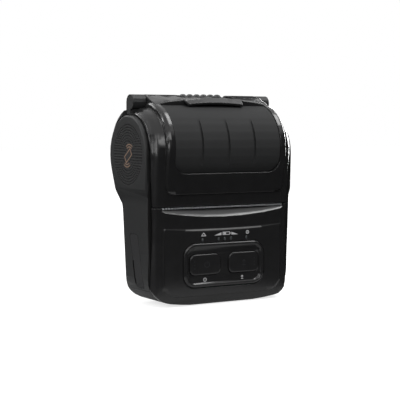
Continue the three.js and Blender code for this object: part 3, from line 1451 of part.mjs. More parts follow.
function guidePinion() {
  const wheel = prismZ(gearOutline(0, guidePinionY, guidePinionTeeth, guideModule,
    -Math.PI / 2 + halfTooth(guidePinionTeeth)),
    rackZ, rackZ + rackHeight);
  return cut(wheel, rodZ(0, guidePinionY, hubBore / 2 + clearance, -far, far));
}

// Hinge pin and springs

function hingePin() {
  return rodX(hingeY, hingeZ, hingePinRadius, -barrelHalf + bezelWall / 2 + clearance,
    barrelHalf - clearance);
}

function hingeSpring(side) {
  const x0 = midKnuckleHalf + clearance;
  const x1 = notchHalf - clearance;
  const spring = coil(0, 0, x0, x1, hingePinRadius + clearance + springWire, springWire, springTurns);
  const laid = spring.rotate([0, 90, 0]).translate([0, hingeY, hingeZ]);
  return side > 0 ? laid : mirrored(laid);
}

// The whole printer, moved so that its middle stands over the origin
const printer = new THREE.Group();
const middleY = (rollY + rollShellRadius + domeY - frameRadius) / 2;

function add(name, solid, material) {
  const mesh = new THREE.Mesh(toGeometry(solid).translate(0, -middleY, 0), material.clone());
  mesh.name = name;
  printer.add(mesh);
}

add('rear_housing', rearHousing(), mattBlack);
const plate = sidePlate();
add('left_side_plate', cut(mirrored(plate), prismX(outline(portCorners(), -clearance), -far, 0)),
  mattBlack);
add('right_side_plate', cut(plate, leverWindow(clearance)), mattBlack);
add('front_bezel', frontBezel(), glossBlack);
add('button_pad', buttonPad(), glossBlack);
add('power_button', mirrored(pushButton()), glossBlack);
add('feed_button', pushButton(), glossBlack);
add('light_guide', lightGuide(), lensClear);
add('tear_bar', tearBar(), steel);
add('main_board', mainBoard(), boardGreen);
add('power_switch', mirrored(tactSwitch()), steel);
add('feed_switch', tactSwitch(), steel);
add('usb_socket', usbSocket(), steel);
add('dc_socket', dcSocket(), innerBlack);
add('port_cover', portCover(), rubberBlack);
add('release_lever', releaseLever(), leverGrey);
add('latch_yoke', latchYoke(), steel);
add('latch_spring', latchSpring(), steel);
add('battery_pack', batteryPack(), mattBlack);
add('battery_latch', batteryLatch(), innerBlack);
add('battery_contacts', batteryContacts(), innerBlack);
add('case_screw_lower_left', mirrored(caseScrew(screwFootZ)), steel);
add('case_screw_lower_right', caseScrew(screwFootZ), steel);
add('case_screw_upper_left', mirrored(caseScrew(screwTopZ)), steel);
add('case_screw_upper_right', caseScrew(screwTopZ), steel);
add('print_frame', printFrame(), steel);
add('print_head_sink', headSink(), aluminium);
add('print_head_strip', headStripSolid(), ceramic);
add('head_spring_left', headSpring(-headSpringX), steel);
add('head_spring_right', headSpring(headSpringX), steel);
add('feed_motor', feedMotor(), steel);
add('motor_pinion', motorPinion(), steel);
add('idler_gear', idlerGear(), nylon);
add('idler_stud', idlerStud(), steel);
add('gap_sensor', gapSensor(), innerBlack);
add('roll_tray', rollTray(), innerBlack);
add('media_guide_left', mirrored(mediaGuide(guideFootBackY, -1)), innerBlack);
add('media_guide_right', mediaGuide(guideFootFrontY, 1), innerBlack);
add('guide_hub_left', mirrored(guideHub()), nylon);
add('guide_hub_right', guideHub(), nylon);
add('guide_pinion', guidePinion(), nylon);
add('hinge_pin', hingePin(), steel);
add('hinge_spring_left', hingeSpring(-1), steel);
add('hinge_spring_right', hingeSpring(1), steel);
add('cover_shell', coverShell(), glossBlack);
add('cover_dome', coverDome(), domeBlack);
add('cover_liner', coverLiner(), innerBlack);
add('platen_shaft', platenShaft(), steel);
add('platen_rubber', platenRubber(), rubberBlack);
add('platen_gear', platenGear(), nylon);
add('platen_bush_left', mirrored(platenBush()), nylon);
add('platen_bush_right', platenBush(), nylon);

export default printer;
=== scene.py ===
# %% [markdown]
# # A portable label printer, lit and finished
#
# The printer stands on its foot: a gloss black case with a rounded cover over its roll of labels, matt
# side plates, a slot and two push buttons. Its shape comes ready made. This lesson gives it surfaces,
# small printed marks, a floor, soft light and a camera.

# %% The tools
import json
import math

import bmesh
import bpy
from mathutils import Matrix, Vector


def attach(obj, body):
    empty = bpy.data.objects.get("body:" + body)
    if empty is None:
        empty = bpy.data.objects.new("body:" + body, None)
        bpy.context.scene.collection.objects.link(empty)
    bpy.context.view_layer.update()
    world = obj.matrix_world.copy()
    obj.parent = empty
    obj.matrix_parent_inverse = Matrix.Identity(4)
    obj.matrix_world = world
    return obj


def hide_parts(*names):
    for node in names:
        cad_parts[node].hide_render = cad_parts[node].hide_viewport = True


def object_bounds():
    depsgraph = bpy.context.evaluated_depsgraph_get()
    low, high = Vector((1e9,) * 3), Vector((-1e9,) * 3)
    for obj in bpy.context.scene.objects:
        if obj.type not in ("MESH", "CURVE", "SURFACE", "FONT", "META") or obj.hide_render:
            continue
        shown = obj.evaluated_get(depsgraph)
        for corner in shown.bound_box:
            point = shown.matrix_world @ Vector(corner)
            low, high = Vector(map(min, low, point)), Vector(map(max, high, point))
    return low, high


# %% [markdown]
# ## The printer's solids
#
# Every solid arrives at its real size in metres, with +Z up and the front facing -Y. The sizes of small
# things are written in millimetres and multiplied by one unit. Floor, lamps and card are in metres.

# %% Load the solids
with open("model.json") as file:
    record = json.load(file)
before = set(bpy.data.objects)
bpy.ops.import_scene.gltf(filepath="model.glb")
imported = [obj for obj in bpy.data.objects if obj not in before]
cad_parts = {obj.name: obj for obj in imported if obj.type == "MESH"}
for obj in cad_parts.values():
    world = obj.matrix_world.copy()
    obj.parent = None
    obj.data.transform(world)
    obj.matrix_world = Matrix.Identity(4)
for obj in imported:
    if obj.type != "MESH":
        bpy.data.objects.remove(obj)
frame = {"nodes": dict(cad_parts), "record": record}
nodes = frame["nodes"]
cad_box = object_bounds()
MM = 0.001
corners = [[round(v, 4) for v in corner] for corner in cad_box]
print(len(nodes), "solids, from", corners[0], "to", corners[1])

# %% [markdown]
# ## Camera
#
# A long lens far away keeps the printer's sides nearly parallel, as in a catalogue picture. The camera
# looks slightly down from the left of the front. Its place comes from three values: how far it goes
# round the printer, how high it stands and how far away it is. The shift puts the printer a little to
# the right of the middle, where a turn of the camera would change the perspective.

# %% Place the camera
AZIMUTH = math.radians(-31)
ELEVATION = math.radians(3.55)
DISTANCE = 704 * MM
AIM = Vector((0, -1.9, 65)) * MM
FRAME_PIXELS = 400
FOCAL_PIXELS = 1122
AIM_PIXEL = (207.0, 195.9)
SENSOR = 36
PICTURE_MIDDLE = 0.5


def put_in_scene(name, data):
    made = bpy.data.objects.new(name, data)
    bpy.context.scene.collection.objects.link(made)
    return made


def camera_place(azimuth, elevation, distance):
    """A point at a distance from the aim, turned round it from the front and raised above it."""
    level = math.cos(elevation)
    way = Vector((math.sin(azimuth) * level, -math.cos(azimuth) * level, math.sin(elevation)))
    return AIM + way * distance


camera_data = bpy.data.cameras.new("camera")
camera_data.sensor_width = SENSOR
camera_data.lens = FOCAL_PIXELS / FRAME_PIXELS * SENSOR
camera_data.shift_x = PICTURE_MIDDLE - AIM_PIXEL[0] / FRAME_PIXELS
camera_data.shift_y = AIM_PIXEL[1] / FRAME_PIXELS - PICTURE_MIDDLE
camera_data.clip_start = 10 * MM
camera = put_in_scene("camera", camera_data)
camera.location = camera_place(AZIMUTH, ELEVATION, DISTANCE)
camera.rotation_euler = (AIM - camera.location).to_track_quat("-Z", "Y").to_euler()
bpy.context.scene.camera = camera
print("lens", round(camera_data.lens, 1), "mm at", [round(v, 3) for v in camera.location])

# %% [markdown]
# ## Shader maths that reads as maths
#
# A material is a chain of nodes, and a chain is hard to read. The class below wraps one node socket, so
# that a sum or a product of wires adds its own Math node. Every other node comes from one method.

# %% Wires and finishes
SMALL_EDGE = 0.3 * MM
EDGE_SAMPLES = 4


class Wire:
    """One output socket of a node tree; sums and products of wires add Math nodes."""

    def __init__(self, owner, socket):
        self.owner = owner
        self.socket = socket

    def maths(self, operation, *values):
        return self.owner.node("ShaderNodeMath", {"operation": operation}, values)

    def __add__(self, other):
        return self.maths("ADD", self, other)

    def __sub__(self, other):
        return self.maths("SUBTRACT", self, other)

    def __rsub__(self, other):
        return self.maths("SUBTRACT", other, self)

    def __mul__(self, other):
        return self.maths("MULTIPLY", self, other)

    def __truediv__(self, other):
        return self.maths("DIVIDE", self, other)

    def __pow__(self, other):
        return self.maths("POWER", self, other)

    def __abs__(self):
        return self.maths("ABSOLUTE", self)

    __radd__ = __add__
    __rmul__ = __mul__

    def step(self, low, high):
        """0 at low and 1 at high, smooth between and flat beyond."""
        return self.owner.node("ShaderNodeMapRange", {"interpolation_type": "SMOOTHSTEP"},
                               (self, low, high, 0.0, 1.0))


class Nodes:
    """A node tree whose nodes all come from one method."""

    def __init__(self, tree):
        self.tree = tree

    def node(self, kind, settings=None, values=(), output=0):
        """Adds any node: its settings first, then the values or wires of its sockets in order or by name."""
        made = self.tree.nodes.new(kind)
        for name, value in (settings or {}).items():
            setattr(made, name, value)
        pairs = values.items() if isinstance(values, dict) else enumerate(values)
        for key, value in pairs:
            if isinstance(value, Wire):
                self.link(value, made.inputs[key])
            else:
                made.inputs[key].default_value = value
        return Wire(self, made.outputs[output])

    def link(self, wire, socket):
        self.tree.links.new(wire.socket, socket)


class Finish(Nodes):
    """A material with one Principled shader."""

    def __init__(self, name, colour, roughness, metallic=0.0, **uniform):
        self.material = bpy.data.materials.new(name)
        self.material.use_nodes = True
        super().__init__(self.material.node_tree)
        self.shader = self.tree.nodes["Principled BSDF"]
        self.shader.inputs["Base Color"].default_value = (*colour, 1)
        self.shader.inputs["Roughness"].default_value = roughness
        self.shader.inputs["Metallic"].default_value = metallic
        for socket, value in uniform.items():
            self.shader.inputs[socket.replace("_", " ")].default_value = value
        self.place = self.node("ShaderNodeTexCoord", output="Object")

    def feed(self, socket, wire):
        self.link(wire, self.shader.inputs[socket])

    def noise(self, size, detail=2.0, place=None):
        """Soft noise between 0 and 1 whose spots are about the given size across."""
        return self.node("ShaderNodeTexNoise", None,
                         {"Vector": place or self.place, "Scale": 1 / size, "Detail": detail}, "Fac")

    def parts(self, vector):
        split = self.node("ShaderNodeSeparateXYZ", None, (vector,))
        return [Wire(self, socket) for socket in split.socket.node.outputs]

    def axes(self):
        """Where a point lies along X, Y and Z, in millimetres."""
        return [part / MM for part in self.parts(self.place)]

    def facing(self):
        """How far a face looks along X, Y and Z, each from -1 to 1."""
        return self.parts(self.node("ShaderNodeTexCoord", output="Normal"))

    def mix(self, factor, one, two):
        """Colour one where the factor is 0 and colour two where it is 1, by the node's colour sockets."""
        return self.node("ShaderNodeMix", {"data_type": "RGBA"}, {0: factor, 6: one, 7: two}, 2)

    def bump(self, height, depth, edge=SMALL_EDGE):
        """Sends a height between 0 and 1 to the surface normal, over edges rounded by the given radius."""
        rounded = self.node("ShaderNodeBevel", {"samples": EDGE_SAMPLES}, {"Radius": edge}, "Normal")
        self.feed("Normal", self.node("ShaderNodeBump", None, {
            "Strength": 1.0, "Distance": depth, "Height": height, "Normal": rounded}))

    def coat(self, wire):
        """Sets the colour of the whole surface."""
        self.colour_wire = wire
        self.feed("Base Color", wire)

    def mottle(self, mask, colour, tones):
        """Coats the surface with a colour made darker or lighter, from the first tone to the second."""
        self.coat(self.mix(mask, *(shade(colour, tone) for tone in tones)))

    def paint(self, mask, colour):
        """Lays a colour over the coat where the mask is 1."""
        self.coat(self.mix(mask, self.colour_wire, (*colour, 1)))


def shade(colour, factor):
    """The colour made darker or lighter by a factor, with its alpha."""
    return (*(min(1.0, part * factor) for part in colour), 1)


print("wires and finishes are ready")

# %% [markdown]
# ## Moulded plastics
#
# The case is gloss black: deep, with a faint waviness in its reflections that every moulding has. The
# side plates, the dome and the back are moulded in a spark-eroded tool, which leaves a fine even grain
# and scatters the light. Both start from noise; its size in metres is what tells them apart.

# %% Plastic finishes
GLOSS_BLACK = (0.016, 0.016, 0.0165)
MATT_BLACK = (0.02, 0.0205, 0.021)
WAVE_SIZE = 22 * MM
WAVE_DEPTH = 0.12 * MM
HAZE_SIZE = 6 * MM
HAZE_SPREAD = 0.06
FLECK_SIZE = 1.2 * MM
FLECK_SHARE = 0.01
GLOSS_EDGE = 0.7 * MM
GLOSS_SPECULAR = 0.42
GLOSS_TONES = (0.85, 1.15)
GRAIN_SIZE = 0.45 * MM
GRAIN_DEPTH = 0.02 * MM
GRAIN_SPREAD = 0.12
GRAIN_TONES = (0.8, 1.2)
CLOUD_SIZE = 14 * MM


def gloss_plastic(name, colour, roughness=0.2):
    finish = Finish(name, colour, roughness, Specular_IOR_Level=GLOSS_SPECULAR)
    wave = finish.noise(WAVE_SIZE, 1.0)
    haze = finish.noise(HAZE_SIZE, 3.0)
    finish.feed("Roughness", haze * HAZE_SPREAD + (roughness - HAZE_SPREAD / 2))
    finish.bump(wave + finish.noise(FLECK_SIZE) * FLECK_SHARE, WAVE_DEPTH, GLOSS_EDGE)
    finish.mottle(haze, colour, GLOSS_TONES)
    return finish


def grained_plastic(name, colour, roughness=0.55, depth=GRAIN_DEPTH, grain=GRAIN_SIZE, specular=0.3):
    finish = Finish(name, colour, roughness, Specular_IOR_Level=specular)
    fine = finish.noise(grain, 3.0)
    cloud = finish.noise(CLOUD_SIZE)
    finish.feed("Roughness", fine * GRAIN_SPREAD + (roughness - GRAIN_SPREAD / 2))
    finish.mottle(cloud * 0.5 + fine * 0.5, colour, GRAIN_TONES)
    finish.bump(fine, depth)
    return finish


gloss_black = gloss_plastic("gloss_black", GLOSS_BLACK)
matt_black = grained_plastic("matt_black", MATT_BLACK)
dome_black = grained_plastic("dome_black", (0.03, 0.0305, 0.031), 0.7, specular=0.15)
inner_black = grained_plastic("inner_black", MATT_BLACK, 0.6)
rubber = grained_plastic("rubber", (0.016, 0.016, 0.017), 0.75, 0.03 * MM, 0.3 * MM)
lever_grey = grained_plastic("lever_grey", (0.42, 0.43, 0.44), 0.35)
lens = gloss_plastic("lens", (0.07, 0.075, 0.078))
nylon = grained_plastic("nylon", (0.72, 0.7, 0.65), 0.45)
ceramic = gloss_plastic("ceramic", (0.7, 0.68, 0.62))
print("plastics ready")

# %% [markdown]
# ## Metals and the circuit board
#
# Rolled and turned metal shows fine lines along the way it was worked, so noise is stretched along that
# way and roughens the shine. The board is green lacquer over a grid of tracks, from a brick pattern.

# %% Metal finishes
LINE_SIZE = 0.8 * MM
LINE_DEPTH = 0.01 * MM
LINE_SPREAD = 0.25
LINE_SHINE = 0.1
METAL_TONES = (0.85, 1.1)
TRACK_SIZE = 9 * MM
TRACK_GAP = 0.03
TRACK_DEPTH = 0.03 * MM
TRACK_TONES = (1.0, 1.7)
LACQUER_SIZE = 1 * MM
LACQUER_SHARE = 0.2


def brushed_metal(name, colour, roughness, along=(1, 1, 12)):
    finish = Finish(name, colour, roughness, 1.0)
    drawn = finish.node("ShaderNodeMapping", None, {"Vector": finish.place, "Scale": along}, "Vector")
    lines = finish.noise(LINE_SIZE, 4.0, drawn)
    finish.feed("Roughness", lines * LINE_SPREAD + (roughness - LINE_SHINE))
    finish.mottle(lines, colour, METAL_TONES)
    finish.bump(lines, LINE_DEPTH)
    return finish


def circuit_board(name, colour):
    finish = Finish(name, colour, 0.4)
    tracks = finish.node("ShaderNodeTexBrick", {"offset": 0.5}, {
        "Vector": finish.place, "Scale": 1 / TRACK_SIZE, "Mortar Size": TRACK_GAP}, "Fac")
    finish.mottle(tracks, colour, TRACK_TONES)
    finish.bump(tracks + finish.noise(LACQUER_SIZE) * LACQUER_SHARE, TRACK_DEPTH)
    return finish


steel = brushed_metal("steel", (0.45, 0.46, 0.48), 0.32)
aluminium = brushed_metal("aluminium", (0.6, 0.61, 0.63), 0.35, (12, 1, 1))
board = circuit_board("board", (0.012, 0.1, 0.045))
print("metals and board ready")

# %% [markdown]
# ## Dressing the solids
#
# The record names a material slot for each solid, and every slot has its finish.

# %% Give every solid the finish of its slot
finishes = {"gloss_black": gloss_black, "matt_black": matt_black, "dome_black": dome_black,
            "inner_black": inner_black, "lever_grey": lever_grey, "lens": lens, "rubber": rubber,
            "steel": steel, "aluminium": aluminium, "ceramic": ceramic, "board": board, "nylon": nylon}
for part in frame["record"]["subparts"]:
    solid = nodes[part["node"]]
    solid.data.materials.clear()
    solid.data.materials.append(finishes[part["material_slot"]].material)

# %% [markdown]
# ## Printed marks
#
# The marks on the front are pad printed, far too thin to model, so they are drawn in the surface's own
# colour. A mark is a product of bands: each band is 1 where a distance stays within a limit. The marks
# are plain signs: a triangle for a fault, a cell between two wedges for the battery and a ring for the
# state, an on and off sign under the first button and an arrow under the second. From here on, places
# on a surface are in millimetres.

# %% Marks from distances
SOFT_EDGE = 0.07


def within(distance, limit):
    return distance.step(limit + SOFT_EDGE, limit - SOFT_EDGE)


def near(value, middle, half):
    return within(abs(value - middle), half)


def any_of(*masks):
    total = masks[0]
    for mask in masks[1:]:
        total = total.maths("MAXIMUM", total, mask)
    return total


def box(x, z, middle, half):
    return near(x, middle[0], half[0]) * near(z, middle[1], half[1])


def reach(across, up):
    """How far away a point is that lies so far across and so far up."""
    return (across * across + up * up) ** 0.5


def ring(x, z, middle, radius, half):
    return near(reach(x - middle[0], z - middle[1]), radius, half)


def dot(x, z, middle, radius):
    return ring(x, z, middle, 0, radius)


def wedge(x, z, start, end, foot, height):
    """A flat triangle that grows from start to end."""
    share = (x - start) / (end - start)
    inside = near(x, (start + end) / 2, abs(end - start) / 2)
    return inside * (z - foot).step(-SOFT_EDGE, SOFT_EDGE) * within(z - foot - share * height, 0.0)


print("marks can be drawn")

# %% Signs over the lamps
PRINT_WHITE = (0.55, 0.55, 0.56)
SIGN_Z = 43.2
LINE = 0.22
FRONT_Y = -21.2
FAULT_X = -15.1
FAULT_SLOPE = 1.25
CELL_X = 1
STATE_X = 16.5
WEDGE_FOOT = 42.2
WEDGE_HEIGHT = 1.7

# This material carries the print over the lamps and, further on, a painted highlight on the scoop.
front_gloss = gloss_plastic("printed_front_with_painted_highlight", GLOSS_BLACK)
x, y, z = front_gloss.axes()
front_only = within(y - FRONT_Y, 0.0)
slant = abs(x - FAULT_X) * FAULT_SLOPE + (z - SIGN_Z)
fault = any_of(box(x, z, (FAULT_X, SIGN_Z - 0.85), (1.5, LINE)),
               near(slant, 0.95, LINE * 1.6) * near(z, SIGN_Z, 1.0))
cell_wall = box(x, z, (CELL_X, SIGN_Z), (2.6, 0.95)) * (1 - box(x, z, (CELL_X, SIGN_Z), (2.2, 0.6)))
cell_pole = box(x, z, (CELL_X + 2.9, SIGN_Z), (0.3, 0.4))
cell_charge = box(x, z, (CELL_X - 1.1, SIGN_Z), (0.9, 0.6))
wedges = any_of(wedge(x, z, -7.6, -2.5, WEDGE_FOOT, WEDGE_HEIGHT),
                wedge(x, z, 9.6, 4.7, WEDGE_FOOT, WEDGE_HEIGHT))
state = any_of(ring(x, z, (STATE_X, SIGN_Z), 0.95, LINE), dot(x, z, (STATE_X, SIGN_Z), 0.35))
signs = any_of(fault, cell_wall, cell_pole, cell_charge, wedges, state)
front_gloss.paint(signs * front_only, PRINT_WHITE)
print("signs over the lamps printed")

# %% [markdown]
# ## A painted highlight on the scoop under the slot
#
# The scoop where labels tear off, and the crease under it, look paler than the gloss round them. The lamp
# overhead gives them some sheen, and a painted highlight adds more: a pale grey laid on faces that look
# upwards, within limits of height and width.

# %% Paint a highlight on the scoop and the crease
PAINTED_HIGHLIGHT = (0.13, 0.13, 0.13)
SCOOP_FOOT = 45
SCOOP_TOP = 61
SCOOP_HALF = 43.5
UPWARD = (0.2, 0.5)

upward = front_gloss.facing()[2].step(*UPWARD)
scoop = z.step(SCOOP_FOOT, SCOOP_FOOT + 1) * z.step(SCOOP_TOP, SCOOP_TOP - 1)
# Painted highlight: pale grey on the upward faces of the scoop and the crease, standing for the overhead
# lamp's sheen.
front_gloss.paint(upward * scoop * near(x, 0.0, SCOOP_HALF), PAINTED_HIGHLIGHT)
print("scoop painted")

# %% [markdown]
# ## Signs on the buttons
#
# The pad carries white signs under the two buttons. Each button has a larger sign of its own, hardly
# paler than the gloss, and three dots at its outer side.

# %% Signs on the button pad and the buttons
FAINT = (0.028, 0.028, 0.03)
BUTTON_X = 13.8
BUTTON_Z = 24.8
UNDER_Z = 15.5
DOTS_X = 21.5
DOTS_PITCH = 2.1
DOT_RADIUS = 0.35


def power_sign(x, z, middle, size, line):
    """A ring with a gap at its top and a stem in the gap."""
    gap = near(x, middle[0], size * 0.45) * (z - middle[1]).step(0, SOFT_EDGE)
    stem = box(x, z, (middle[0], middle[1] + size * 0.7), (line, size * 0.6))
    return any_of(ring(x, z, middle, size, line) * (1 - gap), stem)


def arrow_sign(x, z, middle, size, line):
    """An arrow that points up, over a short bar."""
    point = abs(x - middle[0]) + (z - middle[1] - size)
    head = near(point, 0.0, line * 1.4) * near(x, middle[0], size * 0.8)
    stem = box(x, z, (middle[0], middle[1] + size * 0.1), (line, size * 0.8))
    bar = box(x, z, (middle[0], middle[1] - size * 1.2), (size * 0.8, line))
    return any_of(head, stem, bar)


def touch_dots(x, z, middle_x):
    return any_of(*(dot(x, z, (middle_x, BUTTON_Z + row * DOTS_PITCH), DOT_RADIUS) for row in (-1, 0, 1)))


pad_gloss = gloss_plastic("printed_pad", GLOSS_BLACK)
x, y, z = pad_gloss.axes()
pad_gloss.paint(any_of(power_sign(x, z, (-BUTTON_X, UNDER_Z), 1.0, 0.2),
                       arrow_sign(x, z, (BUTTON_X - 0.8, UNDER_Z), 0.9, 0.2)), PRINT_WHITE)
key_gloss = gloss_plastic("printed_key", GLOSS_BLACK)
x, y, z = key_gloss.axes()
key_gloss.paint(any_of(power_sign(x, z, (-BUTTON_X + 1, BUTTON_Z), 1.7, LINE),
                       arrow_sign(x, z, (BUTTON_X, BUTTON_Z), 1.5, LINE),
                       touch_dots(x, z, -DOTS_X), touch_dots(x, z, DOTS_X)), FAINT)
print("pad and buttons printed")

# %% [markdown]
# ## The touch mark on the left side
#
# A coppery outline of a phone with waves over and under it shows where to hold one. The phone is the
# edge of a turned rectangle: the larger of two distances from its middle. A wave is a piece of a ring.
# Two things get painted shade, nearly black, because the lamps leave them too pale: the bottoms of the
# dimples round the mark, which lie deeper than the pad's face, and the plate's narrow lips that look
# forward, which stand for the shadowed gap beside them. How far a point lies to the left sharpens the edge
# of the first paint and keeps it off the right plate.

# %% Draw the touch mark
MARK = (3.6, 90.8)
MARK_SOFT = 0.08
PHONE_TURN = math.radians(-35)
PHONE_HALF = (4.3, 2.1)
PHONE_LINE = 0.3
WAVE_CENTRES = ((2.1, 91.5, 1), (5.1, 90.1, -1))
WAVE_RADII = (4.65, 6.2)
WAVE_LINE = 0.2
WAVE_SOFT = 0.13
WAVE_SPREAD = 0.85
WAVE_END = 0.15
COPPER = (0.28, 0.18, 0.125)
PAINTED_SHADE = (0.002, 0.002, 0.002)
PAD_X = -52.5
PAD_RADIUS = 19.6
PAD_CENTRE = (4.1, 91.4)
MARKED_X = (-52.3, -52.4)
SHADE_DEPTHS = (0.06, 0.2)
PAD_SOFT = 0.2
FORWARD = (-0.75, -0.85)

plate_black = grained_plastic("side_plate", MATT_BLACK)
x, y, z = plate_black.axes()
deep = (x - PAD_X).step(*SHADE_DEPTHS)
on_pad = reach(y - PAD_CENTRE[0], z - PAD_CENTRE[1]).step(PAD_RADIUS, PAD_RADIUS - PAD_SOFT)
# Painted shade: near black in the bottoms of the dimples on the left pad.
plate_black.paint((deep * on_pad * (0 - x)).step(0.0, 1.0), PAINTED_SHADE)
from_y, from_z = y - MARK[0], z - MARK[1]
long_way = from_y * math.cos(PHONE_TURN) + from_z * math.sin(PHONE_TURN)
short_way = from_z * math.cos(PHONE_TURN) - from_y * math.sin(PHONE_TURN)
phone = abs(any_of(abs(long_way) - PHONE_HALF[0], abs(short_way) - PHONE_HALF[1]))
marks = [phone.step(PHONE_LINE + MARK_SOFT, PHONE_LINE - MARK_SOFT)]
for centre_y, centre_z, way in WAVE_CENTRES:
    across, up = y - centre_y, (z - centre_z) * way
    opening = (up * WAVE_SPREAD - abs(across)).step(0.0, WAVE_END)
    for radius in WAVE_RADII:
        off = abs(reach(across, up) - radius)
        marks.append(off.step(WAVE_LINE + WAVE_SOFT, WAVE_LINE) * opening)
plate_black.paint(any_of(*marks) * x.step(*MARKED_X), COPPER)
# Painted shade: near black on the plates' narrow lips that look forward.
plate_black.paint(plate_black.facing()[1].step(*FORWARD), PAINTED_SHADE)
print("touch mark drawn")

# %% [markdown]
# ## Smooth copies of the mouldings
#
# The solids are made of flat facets, which gloss would show at once. A copy whose corners are merged
# can be shaded smooth, with its real edges kept sharp. There are two ways to keep its flat faces flat.
# On the side plates and the small pieces, weighted normals let the large faces decide how an edge is
# shaded. On the large rounded pieces and the battery they leave bands and smears, so those are sliced on
# a grid instead: the shading then turns within one slice of each fold, and a lower angle counts as sharp.

# %% Smooth copies
SMOOTH_ANGLE = math.radians(32)
SLICED_ANGLE = math.radians(19)
FLAT_ANGLE = math.radians(0.4)
MERGE_REACH = 0.002 * MM
SLICE_SLACK = 0.001 * MM
FLAT_WEIGHT = 50


def slice_on_grid(form, pitch):
    """Cuts the faces along planes square to X and Z, one pitch apart."""
    for axis in (0, 2):
        along = [vert.co[axis] for vert in form.verts]
        count = int((max(along) - min(along)) / pitch)
        for i in range(1, count + 1):
            place, square = Vector(), Vector()
            place[axis] = min(along) + i * pitch
            square[axis] = 1
            bmesh.ops.bisect_plane(form, geom=form.verts[:] + form.edges[:] + form.faces[:],
                                   plane_co=place, plane_no=square, dist=SLICE_SLACK)


def press(piece, cutter):
    """Cuts the cutter's shape into the piece's own mesh."""
    cut = piece.modifiers.new("dimples", "BOOLEAN")
    cut.operation = "DIFFERENCE"
    cut.solver = "EXACT"
    cut.object = cutter
    bpy.context.view_layer.update()
    pressed = piece.evaluated_get(bpy.context.evaluated_depsgraph_get())
    piece.data = bpy.data.meshes.new_from_object(pressed)
    piece.modifiers.clear()


def smooth_copy(node, body, finish, slot, pitch=None, cutter=None):
    """Replaces a solid by a smoothly shaded copy, sliced where a pitch is given."""
    mesh = nodes[node].data.copy()
    mesh.name = node + "_skin"
    form = bmesh.new()
    form.from_mesh(mesh)
    bmesh.ops.remove_doubles(form, verts=form.verts, dist=MERGE_REACH)
    bmesh.ops.dissolve_degenerate(form, edges=form.edges, dist=MERGE_REACH)
    if pitch:
        bmesh.ops.dissolve_limit(form, angle_limit=FLAT_ANGLE, verts=form.verts, edges=form.edges)
        slice_on_grid(form, pitch)
    form.to_mesh(mesh)
    form.free()
    mesh.materials.clear()
    mesh.materials.append(finish.material)
    piece = put_in_scene(mesh.name, mesh)
    if cutter:
        press(piece, cutter)
    piece.data.shade_smooth()
    piece.data.set_sharp_from_angle(angle=SLICED_ANGLE if pitch else SMOOTH_ANGLE)
    if not pitch:
        weighted = piece.modifiers.new("flat faces stay flat", "WEIGHTED_NORMAL")
        weighted.keep_sharp = True
        weighted.weight = FLAT_WEIGHT
    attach(piece, body)
    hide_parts(node)
    return piece


print("copies can be made")

# %% [markdown]
# ## Dimples of the left pad
#
# The round pad on the left has rings of small dimples round the touch mark. Each ring has six more than
# the one inside it, which keeps them evenly spread. Small spheres press them into the plate.

# %% Dimple cutter
DIMPLE_PITCH = 1.65
DIMPLE_RINGS = 11
DIMPLES_MORE = 6
DIMPLE_RADIUS = 0.6
DIMPLE_DEPTH = 0.5
BALL_STEPS = (8, 5)
BARE_PHONE = (5.3, 3.1)
BARE_WAVES = 7.2


def on_mark(across, up):
    """Says whether a dimple would spoil the touch mark."""
    from_mark = Matrix.Rotation(-PHONE_TURN, 2) @ Vector((across - MARK[0], up - MARK[1]))
    if abs(from_mark.x) < BARE_PHONE[0] and abs(from_mark.y) < BARE_PHONE[1]:
        return True
    for centre_y, centre_z, way in WAVE_CENTRES:
        aside, over = abs(across - centre_y), (up - centre_z) * way
        if aside < over and math.hypot(aside, over) < BARE_WAVES:
            return True
    return False


def finished_mesh(name, form):
    mesh = bpy.data.meshes.new(name)
    form.to_mesh(mesh)
    form.free()
    return mesh


def dimple_cutter():
    """Spheres that stand in the pad's face to the depth of a dimple."""
    ball = (DIMPLE_RADIUS ** 2 + DIMPLE_DEPTH ** 2) / (2 * DIMPLE_DEPTH)
    form = bmesh.new()
    made = 0
    for row in range(1, DIMPLE_RINGS + 1):
        for i in range(DIMPLES_MORE * row):
            angle = math.tau * i / (DIMPLES_MORE * row)
            across = PAD_CENTRE[0] + row * DIMPLE_PITCH * math.cos(angle)
            up = PAD_CENTRE[1] + row * DIMPLE_PITCH * math.sin(angle)
            if on_mark(across, up):
                continue
            place = Matrix.Translation(Vector((PAD_X - ball + DIMPLE_DEPTH, across, up)) * MM)
            bmesh.ops.create_uvsphere(form, u_segments=BALL_STEPS[0], v_segments=BALL_STEPS[1],
                                      radius=ball * MM, matrix=place)
            made += 1
    print(made, "dimples")
    return put_in_scene("dimple_cutter", finished_mesh("dimple_cutter", form))


# %% [markdown]
# ## Replacing the mouldings
#
# Thirteen mouldings lie outside, where their facets would show. The copy of each one moves with the same
# body and takes its place. The cutter isn't needed after that.

